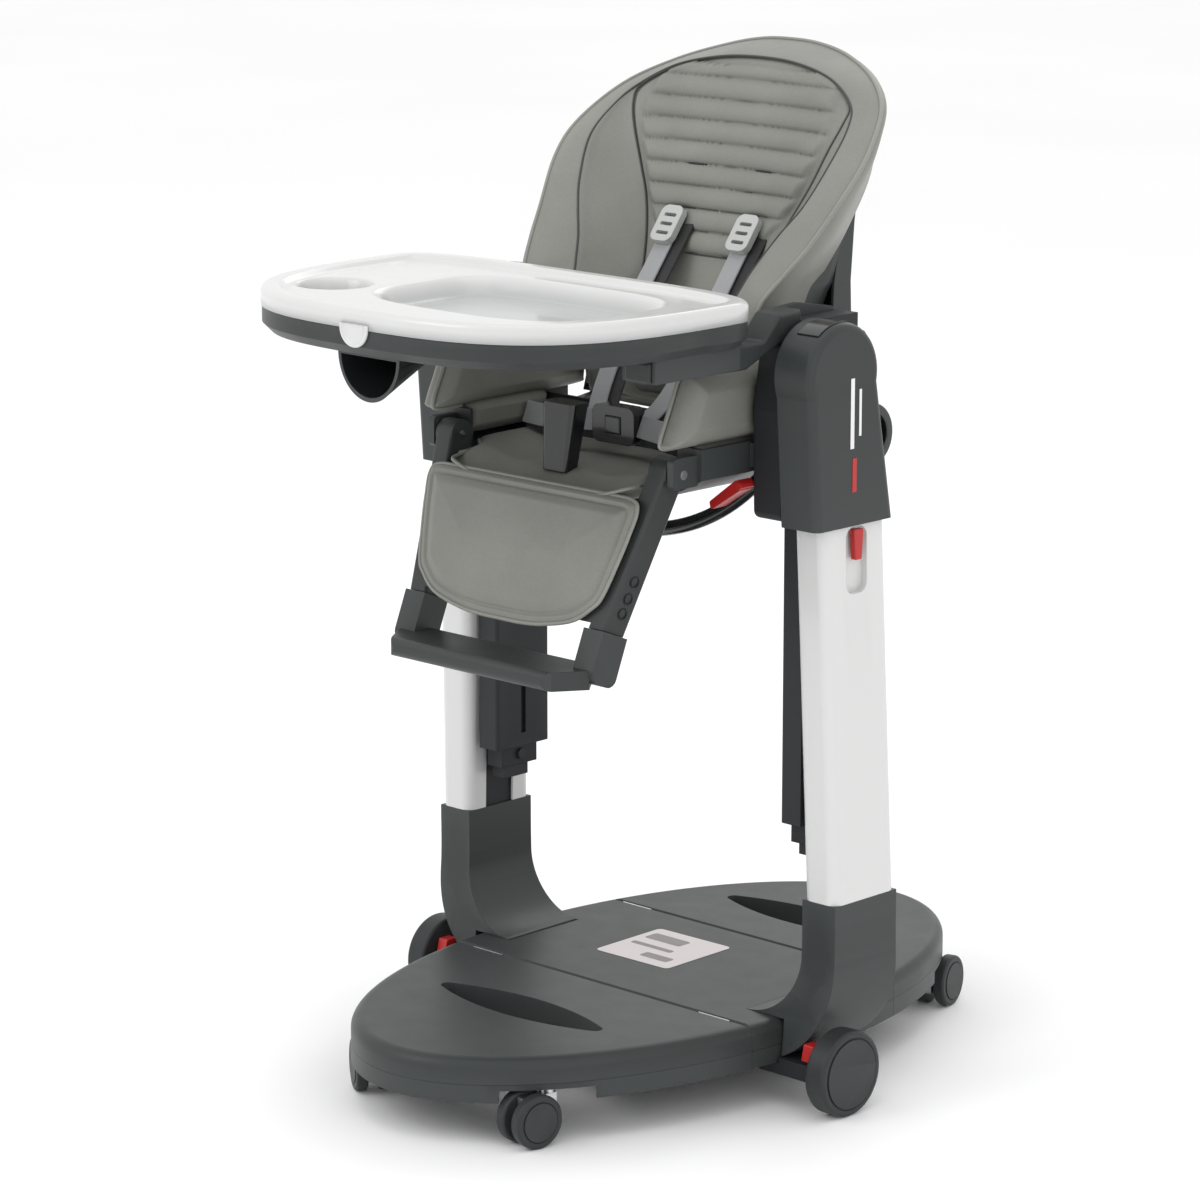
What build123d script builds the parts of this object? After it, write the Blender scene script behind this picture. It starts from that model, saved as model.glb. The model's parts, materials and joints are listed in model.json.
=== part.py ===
"""Baby high chair on a rolling oval base: two columns carry a height-adjustable reclining seat and a tray.

Millimetres. +Z is up, the child faces -Y, and "right" is +X, as seen by someone who stands in front.
The origin is on the floor, under the middle of the chair.
"""

import os
from math import cos, radians, sin, sqrt

from build123d import *

# ---- Driving dimensions ----
RUN = 0.05  # radial clearance of a running fit
GAP = 0.4  # clearance between pieces that move past each other
WALL = 3.5  # moulding wall

BASE_Y = 19.0
BASE_HALF_X, BASE_HALF_Y = 228.0, 400.0
BASE_BOTTOM, BASE_PARTING, BASE_TOP = 45.0, 64.0, 91.0
BASE_PLATE = 5.0
FRONT_SEAM_Y, REAR_SEAM_Y = -72.0, 166.0
BASE_HINGE_Z = 88.0
HAND_HOLE_OFFSET, HAND_HOLE_HALF, HAND_HOLE_WIDTH = 209.0, 128.0, 30.0
HINGE_PIN_R, HINGE_PIN_X, HINGE_PIN_LENGTH = 2.5, 168.0, 44.0

STEM_X, FRONT_STEM_Y, REAR_STEM_Y = 133.0, -286.0, 322.0
STEM_R, STEM_TOP, STEM_BOSS_R = 5.0, 79.0, 8.0
CASTER_WHEEL_R, CASTER_TRAIL, CASTER_WHEEL_T = 28.5, 22.0, 13.5
CASTER_POCKET_R, CASTER_POCKET_TOP = 51.0, 58.0
CASTERS = {
    "front_right": (STEM_X, FRONT_STEM_Y, -9),
    "front_left": (-STEM_X, FRONT_STEM_Y, 56),
    "rear_right": (STEM_X, REAR_STEM_Y, 195),
    "rear_left": (-STEM_X, REAR_STEM_Y, 172),
}

SIDE_WHEEL_R, SIDE_WHEEL_T, SIDE_WHEEL_X, SIDE_WHEEL_Y = 45.7, 26.0, 283.5, -15.0
SIDE_AXLE_R = 4.0
BRAKE_TAB_X, BRAKE_PIVOT = (265.0, 278.0), (-26.0, 56.0)

FOOT_TOP = 223.0
FOOT_ARC, FOOT_FILLET = 110.0, 70.0
FOOT_Y = (-23.0, 74.0)
SHELL_BOTTOM = (246.0, 291.0, -23.0, 74.0)  # x low, x high, y low, y high
SHELL_TOP = (236.8, 281.6, -36.0, 60.0)
SHELL_TOP_Z = 640.0
SHELL_WALL = 3.0

RAIL_X, RAIL_NECK_X, RAIL_CORE_X, RAIL_END_X = 208.0, 236.0, 249.5, 262.0
RAIL_Y = (-16.0, 65.0)
NECK_Y = (4.0, 44.0)
CORE_Y = (-1.0, 49.0)
RAIL_BOTTOM, RAIL_TOP, CORE_BOTTOM, CORE_TOP = 297.0, 826.0, 121.0, 690.0

CAP_X = (240.0, 288.0)
CAP_BOTTOM, CAP_APEX = 620.0, 829.0
CAP_BUTTON_X, CAP_BUTTON_Y = (252.0, 280.0), (-46.0, -4.0)
TAB_Y, RECESS_Z = 13.0, (548.0, 617.0)

CARRIAGE_X = (194.0, 232.0)
CARRIAGE_Z = (622.0, 806.0)
ARM_X = (196.0, 230.0)

PAN_CENTRE_Z, PAN_R, PAN_HALF, PAN_TOP = 1012.0, 390.0, 184.0, 700.0
PAN_Y = (-112.0, 22.0)
LEVER_PIVOT = (190.0, 657.0)
TUBE_Y, TUBE_R, TUBE_LOW, TUBE_ARC = -31.0, 8.0, 583.0, 272.0

LEG_PIVOT = (-131.0, 676.0)
LEG_ANGLE = 22.2
LEG_BAR_X = (142.0, 166.0)  # at the pivot
LEG_BAR_LEAN = 24.0  # each bar runs this much inward on its way down
LEG_BAR_HALF, LEG_SEAM, LEG_TONGUE_END, SLEEVE_END = 16.0, 172.0, 214.0, 218.0
FOOT_PLATE_Z = (464.0, 484.0)

BACK_PIVOT = (40.0, 672.0)
BACK_EAR_X = (150.0, 160.0)
HINGE_R = 5.0

STRAP_TOP = (112.0, 900.0)
STRAP_ANGLE = 37.0
STRAP_X, STRAP_LENGTH, STRAP_WIDTH, STRAP_T = 54.0, 136.0, 24.0, 3.0

TRAY_HALF_X, TRAY_FRONT, TRAY_REAR, TRAY_WIDEST_Y = 250.0, -416.0, -76.0, -150.0
TRAY_BOTTOM, TRAY_SPLIT, TRAY_TOP = 812.0, 838.0, 858.0
BOWL_X, BOWL_Y, BOWL_HALF_X, BOWL_HALF_Y, BOWL_FLOOR = 38.0, -232.0, 150.0, 104.0, 834.0
CUP_X, CUP_Y, CUP_R, CUP_FLOOR = -163.0, -292.0, 40.0, 831.0

RIGHT_SIDE = Plane.YZ


# ---- Shared helpers ----
def save(piece, name):
    """Labels a finished piece and writes it as its own file."""
    piece.label = name
    export_step(piece, f"parts/{name}.step")


def save_pair(piece, name):
    """Writes the right-hand piece and its mirror image on the left."""
    save(mirror(piece, about=Plane.YZ), f"{name}_left")
    save(piece, f"{name}_right")


def side_face(points, x, radius):
    """A rounded outline in the side view (Y, Z), standing on the plane at x."""
    with BuildSketch(RIGHT_SIDE.offset(x)) as face:
        with BuildLine():
            FilletPolyline(*points, radius=radius, close=True)
        make_face()
    return face.sketch


def span_box(x, y, z, mode=Mode.ADD):
    """A box given by its low and high values along each axis."""
    with Locations(((x[0] + x[1]) / 2, (y[0] + y[1]) / 2, (z[0] + z[1]) / 2)):
        Box(x[1] - x[0], y[1] - y[0], z[1] - z[0], mode=mode)


def cross_pin(x, y, z, radius, mode=Mode.ADD):
    """A cylinder along X between two x values."""
    with Locations(((x[0] + x[1]) / 2, y, z)):
        Cylinder(radius, x[1] - x[0], rotation=(0, 90, 0), mode=mode)


def slanted_plane(pivot, angle):
    """Plane through a pivot (y, z) that faces forward and leans back by angle; its -Y runs down the slope."""
    lean = radians(angle)
    return Plane(origin=(0, *pivot), x_dir=(1, 0, 0), z_dir=(0, -cos(lean), sin(lean)))


def superellipse(half_x, front, rear, widest, inset, height):
    """Rounded tray outline: a superellipse, fuller at the rear, on the plane at a height."""
    half = half_x - inset
    sweep = []
    for step in range(0, 360, 12):
        across, along = cos(radians(step)), sin(radians(step))
        power = 2 / 3.0 if along < 0 else 2 / 3.8
        depth = widest - front - inset if along < 0 else rear - widest - inset
        x = half * abs(across) ** power * (1 if across > 0 else -1)
        y = widest + depth * abs(along) ** power * (1 if along > 0 else -1)
        sweep.append((x, y))
    with BuildSketch(Plane.XY.offset(height)) as outline:
        with BuildLine():
            Spline(*sweep, periodic=True)
        make_face()
    return outline.sketch


# ---- Base ----
def oval_band(height, inset, low, high):
    """The oval base outline, cut to the band between two Y values."""
    with BuildSketch(Plane.XY.offset(height)) as band:
        with Locations((0, BASE_Y)):
            Ellipse(BASE_HALF_X - inset, BASE_HALF_Y - inset)
        with Locations((0, (low + high) / 2)):
            Rectangle(2 * BASE_HALF_X, high - low, mode=Mode.INTERSECT)
    return band.sketch


def lens(height, y, grow):
    """The pointed oval of a hand hole."""
    half, width = HAND_HOLE_HALF + grow, HAND_HOLE_WIDTH + grow
    with BuildSketch(Plane.XY.offset(height)) as hole:
        with BuildLine():
            ThreePointArc((-half, y), (0, y - width), (half, y))
            ThreePointArc((half, y), (0, y + width), (-half, y))
        make_face()
        fillet(hole.vertices(), 8)
    return hole.sketch


def seam_hinges(y, radius):
    """Cuts the hinge grooves of one seam into the active piece."""
    for side in (-1, 1):
        with Locations((side * HINGE_PIN_X, y, BASE_HINGE_Z)):
            Cylinder(radius, HINGE_PIN_LENGTH, rotation=(0, 90, 0), mode=Mode.SUBTRACT)


def base_upper(low, high, seams, groove, hole_y=None):
    """Top moulding of one base section: a rounded lid with a rim, open underneath."""
    with BuildPart() as upper:
        extrude(to_extrude=oval_band(BASE_PARTING + GAP / 2, 0, low, high), amount=BASE_TOP - BASE_PARTING - GAP / 2)
        outer_edges = upper.edges().filter_by(GeomType.LINE, reverse=True).group_by(Axis.Z)[-1]
        fillet(outer_edges, 13)
        pocket = oval_band(BASE_PARTING, WALL, low + WALL, high - WALL)
        extrude(to_extrude=pocket, amount=BASE_TOP - BASE_PARTING - 2 * WALL, mode=Mode.SUBTRACT)
        if hole_y is not None:
            sleeve = lens(BASE_PARTING + GAP / 2, hole_y, WALL)
            extrude(to_extrude=sleeve, amount=BASE_TOP - BASE_PARTING - WALL)
            extrude(to_extrude=lens(BASE_PARTING, hole_y, 0), amount=BASE_TOP, mode=Mode.SUBTRACT)
        for seam in seams:
            seam_hinges(seam, groove)
            with Locations(Location((0, seam, BASE_TOP), (45, 0, 0))):
                Box(3 * BASE_HALF_X, 4.5, 4.5, mode=Mode.SUBTRACT)
    return upper.part


def base_lower(low, high, stem_y=None, hole_y=None):
    """Lower moulding of one base section: a plate with a skirt, and the caster pockets and bosses."""
    skirt_height = BASE_PARTING - BASE_BOTTOM - BASE_PLATE
    with BuildPart() as lower:
        extrude(to_extrude=oval_band(BASE_BOTTOM, 0, low, high), amount=BASE_PARTING - BASE_BOTTOM)
        hollow = oval_band(BASE_BOTTOM, WALL, low + WALL, high - WALL)
        extrude(to_extrude=hollow, amount=skirt_height, mode=Mode.SUBTRACT)
        if hole_y is not None:
            extrude(to_extrude=lens(BASE_BOTTOM, hole_y, WALL), amount=skirt_height)
            extrude(to_extrude=lens(0, hole_y, 0), amount=BASE_TOP, mode=Mode.SUBTRACT)
        if stem_y is not None:
            for side in (-1, 1):
                with Locations((side * STEM_X, stem_y, 0)):
                    Cylinder(
                        CASTER_POCKET_R,
                        CASTER_POCKET_TOP,
                        align=(Align.CENTER, Align.CENTER, Align.MIN),
                        mode=Mode.SUBTRACT,
                    )
                with Locations((side * STEM_X, stem_y, BASE_PARTING)):
                    Cylinder(STEM_BOSS_R, 18, align=(Align.CENTER, Align.CENTER, Align.MIN))
                with Locations((side * STEM_X, stem_y, 0)):
                    Cylinder(
                        STEM_R + RUN,
                        STEM_TOP + 1,
                        align=(Align.CENTER, Align.CENTER, Align.MIN),
                        mode=Mode.SUBTRACT,
                    )
    return lower.part


def build_base():
    """The fixed middle of the base and its two folding ends."""
    half_gap = GAP / 2
    front_hole, rear_hole = BASE_Y - HAND_HOLE_OFFSET, BASE_Y + HAND_HOLE_OFFSET + 36
    front_low, front_high = BASE_Y - BASE_HALF_Y, FRONT_SEAM_Y - half_gap
    rear_low, rear_high = REAR_SEAM_Y + half_gap, BASE_Y + BASE_HALF_Y
    centre_low, centre_high = FRONT_SEAM_Y + half_gap, REAR_SEAM_Y - half_gap
    loose = HINGE_PIN_R + RUN
    save(base_upper(centre_low, centre_high, (FRONT_SEAM_Y, REAR_SEAM_Y), HINGE_PIN_R), "base_centre_upper")
    save(base_lower(centre_low, centre_high), "base_centre_lower")
    save(base_upper(front_low, front_high, (FRONT_SEAM_Y,), loose, front_hole), "base_front_upper")
    save(base_lower(front_low, front_high, FRONT_STEM_Y, front_hole), "base_front_lower")
    save(base_upper(rear_low, rear_high, (REAR_SEAM_Y,), loose, rear_hole), "base_rear_upper")
    save(base_lower(rear_low, rear_high, REAR_STEM_Y, rear_hole), "base_rear_lower")
    with BuildPart() as pins:
        for seam in (FRONT_SEAM_Y, REAR_SEAM_Y):
            for side in (-1, 1):
                middle = side * HINGE_PIN_X
                half = HINGE_PIN_LENGTH / 2 - GAP
                cross_pin((middle - half, middle + half), seam, BASE_HINGE_Z, HINGE_PIN_R)
    save(pins.part, "base_hinge_pins")


def build_casters():
    """Four twin-wheel casters, each with a metal fork that swivels on its stem."""
    web = 5.5
    for name, (x, y, heading) in CASTERS.items():
        turn = radians(heading)
        plane = Plane(origin=(x, y, 0), x_dir=(cos(turn), sin(turn), 0), z_dir=(0, 0, 1))
        with BuildPart(plane) as fork:
            with Locations((0, 0, CASTER_WHEEL_R + 8)):
                Cylinder(STEM_R, STEM_TOP - CASTER_WHEEL_R - 8, align=(Align.CENTER, Align.CENTER, Align.MIN))
            with Locations((0, 0, 52.5)):
                Cylinder(8, 4.5, align=(Align.CENTER, Align.CENTER, Align.MIN))
            with Locations((0, -CASTER_TRAIL / 2 - 1, 36)):
                Box(2 * web, CASTER_TRAIL + 20, 32)
            with Locations((0, -CASTER_TRAIL, CASTER_WHEEL_R)):
                Cylinder(3 + RUN, 4 * web, rotation=(0, 90, 0), mode=Mode.SUBTRACT)
        save(fork.part, f"caster_fork_{name}")
        with BuildPart(plane) as wheels:
            for side in (-1, 1):
                with Locations((side * (web + 0.7 + CASTER_WHEEL_T / 2), -CASTER_TRAIL, CASTER_WHEEL_R)):
                    Cylinder(CASTER_WHEEL_R, CASTER_WHEEL_T, rotation=(0, 90, 0))
            fillet(wheels.edges().filter_by(GeomType.CIRCLE), 3)
            with Locations((0, -CASTER_TRAIL, CASTER_WHEEL_R)):
                Cylinder(3, 2 * web + 6, rotation=(0, 90, 0))
            for side in (-1, 1):
                face_x = side * (web + 0.7 + CASTER_WHEEL_T)
                with Locations((face_x, -CASTER_TRAIL, CASTER_WHEEL_R)):
                    Cylinder(21.5, 1.6, rotation=(0, 90, 0), mode=Mode.SUBTRACT)
                    Cylinder(20.5, 1.6, rotation=(0, 90, 0))
        save(wheels.part, f"caster_wheels_{name}")


def build_side_wheels():
    """Large plain wheels outside the feet, with their axles, brackets and red brake tabs."""
    wheel_z, outer = SIDE_WHEEL_R, SIDE_WHEEL_X + SIDE_WHEEL_T
    with BuildPart() as wheel:
        cross_pin((SIDE_WHEEL_X, outer), SIDE_WHEEL_Y, wheel_z, SIDE_WHEEL_R)
        fillet(wheel.edges().filter_by(GeomType.CIRCLE), 4)
        with Locations((outer, SIDE_WHEEL_Y, wheel_z)):
            Cylinder(38.5, 2, rotation=(0, 90, 0), mode=Mode.SUBTRACT)
            Cylinder(37, 2, rotation=(0, 90, 0))
        cross_pin((SIDE_WHEEL_X - 1, outer - 5), SIDE_WHEEL_Y, wheel_z, SIDE_AXLE_R + RUN, Mode.SUBTRACT)
    save_pair(wheel.part, "side_wheel")
    depth = (SIDE_WHEEL_Y - 24, SIDE_WHEEL_Y + 24)
    with BuildPart() as brackets:
        for side in (-1, 1):
            span_box(sorted((side * 229, side * 279)), depth, (33, 51))
            span_box(sorted((side * 200, side * 230)), depth, (33, BASE_BOTTOM - 0.1))
            cross_pin(sorted((side * 231, side * 280)), SIDE_WHEEL_Y, wheel_z, SIDE_AXLE_R, Mode.SUBTRACT)
    save(brackets.part, "axle_brackets")
    with BuildPart() as axles:
        for side in (-1, 1):
            ends = sorted((side * 231, side * (outer - 6)))
            cross_pin(ends, SIDE_WHEEL_Y, wheel_z, SIDE_AXLE_R)
    save(axles.part, "side_axles")
    with BuildPart() as tab:
        tab_low, tab_high = BRAKE_TAB_X
        outline = [(-44, 57), (-26, 52.2), (-20, 53.5), (-24, 74), (-40, 74)]
        extrude(to_extrude=side_face(outline, tab_low, 1.5), amount=tab_high - tab_low)
        cross_pin((tab_low - 1.5, tab_high + 1.5), *BRAKE_PIVOT, 3)
    save_pair(tab.part, "brake_tab")


# ---- Feet, columns and caps ----
def build_feet():
    """J-shaped feet: vertical under the column, curving inward to land on the platform."""
    outer_x, inner_x = SHELL_BOTTOM[1], SHELL_BOTTOM[0]
    arc_z = 150.0
    arc_x = outer_x - FOOT_ARC
    landing_x, landing_z = inner_x - FOOT_FILLET, BASE_TOP + 0.2
    side_x = BASE_HALF_X + 1
    low_z = arc_z - sqrt(FOOT_ARC**2 - (side_x - arc_x) ** 2)
    half = sqrt(0.5)
    with BuildPart() as foot:
        with BuildSketch(Plane.XZ.offset(-100)):
            with BuildLine():
                Polyline(
                    (landing_x, landing_z),
                    (side_x, landing_z),
                    (side_x, low_z),
                )
                bend = (arc_x + FOOT_ARC * half, arc_z - FOOT_ARC * half)
                ThreePointArc((side_x, low_z), bend, (outer_x, arc_z))
                Polyline(
                    (outer_x, arc_z),
                    (outer_x, FOOT_TOP),
                    (inner_x, FOOT_TOP),
                    (inner_x, landing_z + FOOT_FILLET),
                )
                centre = (landing_x, landing_z + FOOT_FILLET)
                hollow = (centre[0] + FOOT_FILLET * half, centre[1] - FOOT_FILLET * half)
                ThreePointArc((inner_x, landing_z + FOOT_FILLET), hollow, (landing_x, landing_z))
            make_face()
        extrude(amount=150)
        with BuildSketch(RIGHT_SIDE.offset(100)):
            with BuildLine():
                Spline((FOOT_Y[0], FOOT_TOP), (-24, 150), (-30, 98), (-36, 44), tangents=((0, -1), (-0.2, -1)))
                Polyline((-36, 44), (80, 44))
                Spline((80, 44), (78, 98), (75, 150), (FOOT_Y[1], FOOT_TOP), tangents=((-0.1, 1), (0, 1)))
                Polyline((FOOT_Y[1], FOOT_TOP), (FOOT_Y[0], FOOT_TOP))
            make_face()
        extrude(amount=300, mode=Mode.INTERSECT)
        span_box(
            (RAIL_CORE_X - 0.1, RAIL_END_X + 0.1),
            (CORE_Y[0] - 0.1, CORE_Y[1] + 0.1),
            (CORE_BOTTOM - 0.1, FOOT_TOP + 1),
            Mode.SUBTRACT,
        )
    save_pair(foot.part, "foot")


def shell_section(box, height, inset):
    """Rounded rectangle of the column shell at one height."""
    x_low, x_high, y_low, y_high = box
    with BuildSketch(Plane.XY.offset(height)) as section:
        with Locations(((x_low + x_high) / 2, (y_low + y_high) / 2)):
            RectangleRounded(x_high - x_low - 2 * inset, y_high - y_low - 2 * inset, 12 - inset)
    return section.sketch


def build_columns():
    """White column shells over dark rails, with the red release tab in the finger recess."""
    recess_x = 276.0
    with BuildPart() as shell:
        loft(
            [
                shell_section(SHELL_BOTTOM, FOOT_TOP + 0.1, 0).face(),
                shell_section(SHELL_TOP, SHELL_TOP_Z, 0).face(),
            ]
        )
        loft(
            [
                shell_section(SHELL_BOTTOM, FOOT_TOP, SHELL_WALL).face(),
                shell_section(SHELL_TOP, SHELL_TOP_Z + 1, SHELL_WALL).face(),
            ],
            mode=Mode.SUBTRACT,
        )
        span_box((230, 252), (NECK_Y[0] - 1, NECK_Y[1] + 1), (FOOT_TOP, SHELL_TOP_Z + 1), Mode.SUBTRACT)
        span_box((recess_x - 4, 281), (TAB_Y - 22, TAB_Y + 22), (RECESS_Z[0] - 6, RECESS_Z[1] + 6))
        recess = side_face(
            [
                (TAB_Y - 16, RECESS_Z[0]),
                (TAB_Y + 16, RECESS_Z[0]),
                (TAB_Y + 16, RECESS_Z[1]),
                (TAB_Y - 16, RECESS_Z[1]),
            ],
            recess_x,
            11,
        )
        extrude(to_extrude=recess, amount=20, mode=Mode.SUBTRACT)
    save_pair(shell.part, "column_shell")

    with BuildPart() as tab:
        wedge = [(TAB_Y - 5, 583), (TAB_Y + 5, 583), (TAB_Y + 7.5, 615), (TAB_Y - 7.5, 615)]
        extrude(to_extrude=side_face(wedge, recess_x + 4, 2), amount=6)
        fillet(tab.edges().group_by(Axis.X)[-1], 1)
    save_pair(tab.part, "release_tab")

    with BuildPart() as rail:
        span_box((RAIL_X, RAIL_NECK_X), RAIL_Y, (RAIL_BOTTOM, RAIL_TOP))
        fillet(rail.edges().filter_by(Axis.Z).group_by(Axis.X)[0], 4)
        span_box((RAIL_NECK_X - 1, RAIL_CORE_X + 1), NECK_Y, (RAIL_BOTTOM, CORE_TOP))
        span_box((RAIL_CORE_X, RAIL_END_X), CORE_Y, (CORE_BOTTOM, CORE_TOP))
        span_box((RAIL_X + 5, RAIL_NECK_X), (-4, 50), (RAIL_BOTTOM - 22, RAIL_BOTTOM + 1))
        span_box((RAIL_X + 9, RAIL_NECK_X), (4, 40), (RAIL_BOTTOM - 36, RAIL_BOTTOM))
        span_box((RAIL_X - 1, RAIL_X + 4), (21, 28), (312, 384), Mode.SUBTRACT)
        cross_pin((RAIL_X + 2, RAIL_X + 6), 24.5, RAIL_BOTTOM - 10, 6)
    save_pair(rail.part, "rail")


def cap_face(x, grow):
    """Side outline of the column cap: straight sides under a round arch."""
    with BuildSketch(RIGHT_SIDE.offset(x)) as face:
        with BuildLine():
            Polyline((40 + grow, 765), (66 + grow, CAP_BOTTOM), (-54 - grow, CAP_BOTTOM), (-63 - grow, 755))
            ThreePointArc((-63 - grow, 755), (-19, CAP_APEX + grow), (40 + grow, 765))
        make_face()
    return face.sketch


def build_caps():
    """Dark caps on the column tops, with height buttons and the rear loops."""
    low, high = CAP_X
    button_floor, pocket_floor = 814.0, 808.0
    with BuildPart() as cap:
        extrude(to_extrude=cap_face(low, 0), amount=high - low)
        outer_rim = cap.edges().group_by(Axis.X)[-1].sort_by(Axis.Z)[1:]
        fillet(outer_rim, 9)
        span_box((low - 1, 282.5), (-36.8, 60.8), (CAP_BOTTOM - 1, SHELL_TOP_Z + 2), Mode.SUBTRACT)
        span_box((low + 6, 282), (-42, 44), (SHELL_TOP_Z + 1, 752), Mode.SUBTRACT)
        span_box((low - 1, low + 7), (NECK_Y[0] - 0.2, NECK_Y[1] + 0.2), (SHELL_TOP_Z, CORE_TOP + 1), Mode.SUBTRACT)
        span_box(
            (CAP_BUTTON_X[0] - GAP, CAP_BUTTON_X[1] + GAP),
            (CAP_BUTTON_Y[0] - GAP, CAP_BUTTON_Y[1] + GAP),
            (pocket_floor, CAP_APEX + 9),
            Mode.SUBTRACT,
        )
        span_box((RAIL_CORE_X - 0.2, RAIL_END_X + 0.2), (CORE_Y[0] - 0.2, CORE_Y[1] + 0.2), (640, CORE_TOP + 1), Mode.SUBTRACT)
    save_pair(cap.part, "cap")

    with BuildPart() as button:
        extrude(to_extrude=cap_face(CAP_BUTTON_X[0], 1.2), amount=CAP_BUTTON_X[1] - CAP_BUTTON_X[0])
        span_box(CAP_BUTTON_X, CAP_BUTTON_Y, (button_floor, CAP_APEX + 9), Mode.INTERSECT)
    save_pair(button.part, "cap_button")

    with BuildPart() as loop:
        with BuildSketch(RIGHT_SIDE.offset(256)):
            with Locations((53, 704)):
                Circle(33)
                Circle(23, mode=Mode.SUBTRACT)
        extrude(amount=12)
        fillet(loop.edges(), 2.5)
        extrude(to_extrude=cap_face(250, 0.05), amount=30, mode=Mode.SUBTRACT)
        mirror(about=Plane.YZ)
    save(loop.part, "cap_loops")


# ---- Seat unit ----
def rail_slot():
    """Cuts the slot in which the rail runs, right through the active piece."""
    span_box(
        (RAIL_X - GAP, CARRIAGE_X[1] + 1),
        (RAIL_Y[0] - GAP, RAIL_Y[1] + GAP),
        (CARRIAGE_Z[0] - 1, RAIL_TOP + 40),
        Mode.SUBTRACT,
    )


def build_carriages():
    """Height carriages that wrap the rails, and the arms that carry the tray."""
    low, high = CARRIAGE_X
    with BuildPart() as carriage:
        outline = [(-47, CARRIAGE_Z[0]), (-49, 735), (-38, CARRIAGE_Z[1]), (84, CARRIAGE_Z[1]), (84, CARRIAGE_Z[0])]
        extrude(to_extrude=side_face(outline, low, 9), amount=high - low)
        fillet(carriage.edges().group_by(Axis.X)[0], 4)
        rail_slot()
    save_pair(carriage.part, "carriage")

    with BuildPart() as arm:
        outline = [
            (60, CARRIAGE_Z[1] + 0.1),
            (60, 830),
            (8, 839),
            (-48, 836),
            (-72, TRAY_BOTTOM - 0.7),
            (-240, TRAY_BOTTOM - 0.7),
            (-240, 787),
            (-96, 785),
            (-60, CARRIAGE_Z[1] - 6),
            (-44, CARRIAGE_Z[1] + 0.1),
        ]
        extrude(to_extrude=side_face(outline, ARM_X[0], 5), amount=ARM_X[1] - ARM_X[0])
        fillet(arm.edges().group_by(Axis.X)[0], 4)
        fillet(arm.edges().group_by(Axis.X)[-1], 4)
        rail_slot()
    save_pair(arm.part, "arm")


def pan_section(y, radius, half, top, roof=None):
    """Cross-section of the seat (X, Z) with a round underside; roof is the radius of a dished top."""
    with BuildSketch(Plane.XZ.offset(-y)) as section:
        with Locations((0, PAN_CENTRE_Z)):
            Circle(radius)
        with Locations((0, top - 150)):
            Rectangle(2 * half, 300, mode=Mode.INTERSECT)
        if roof is not None:
            with Locations((0, 655 + roof)):
                Circle(roof, mode=Mode.SUBTRACT)
    return section.sketch


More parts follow.
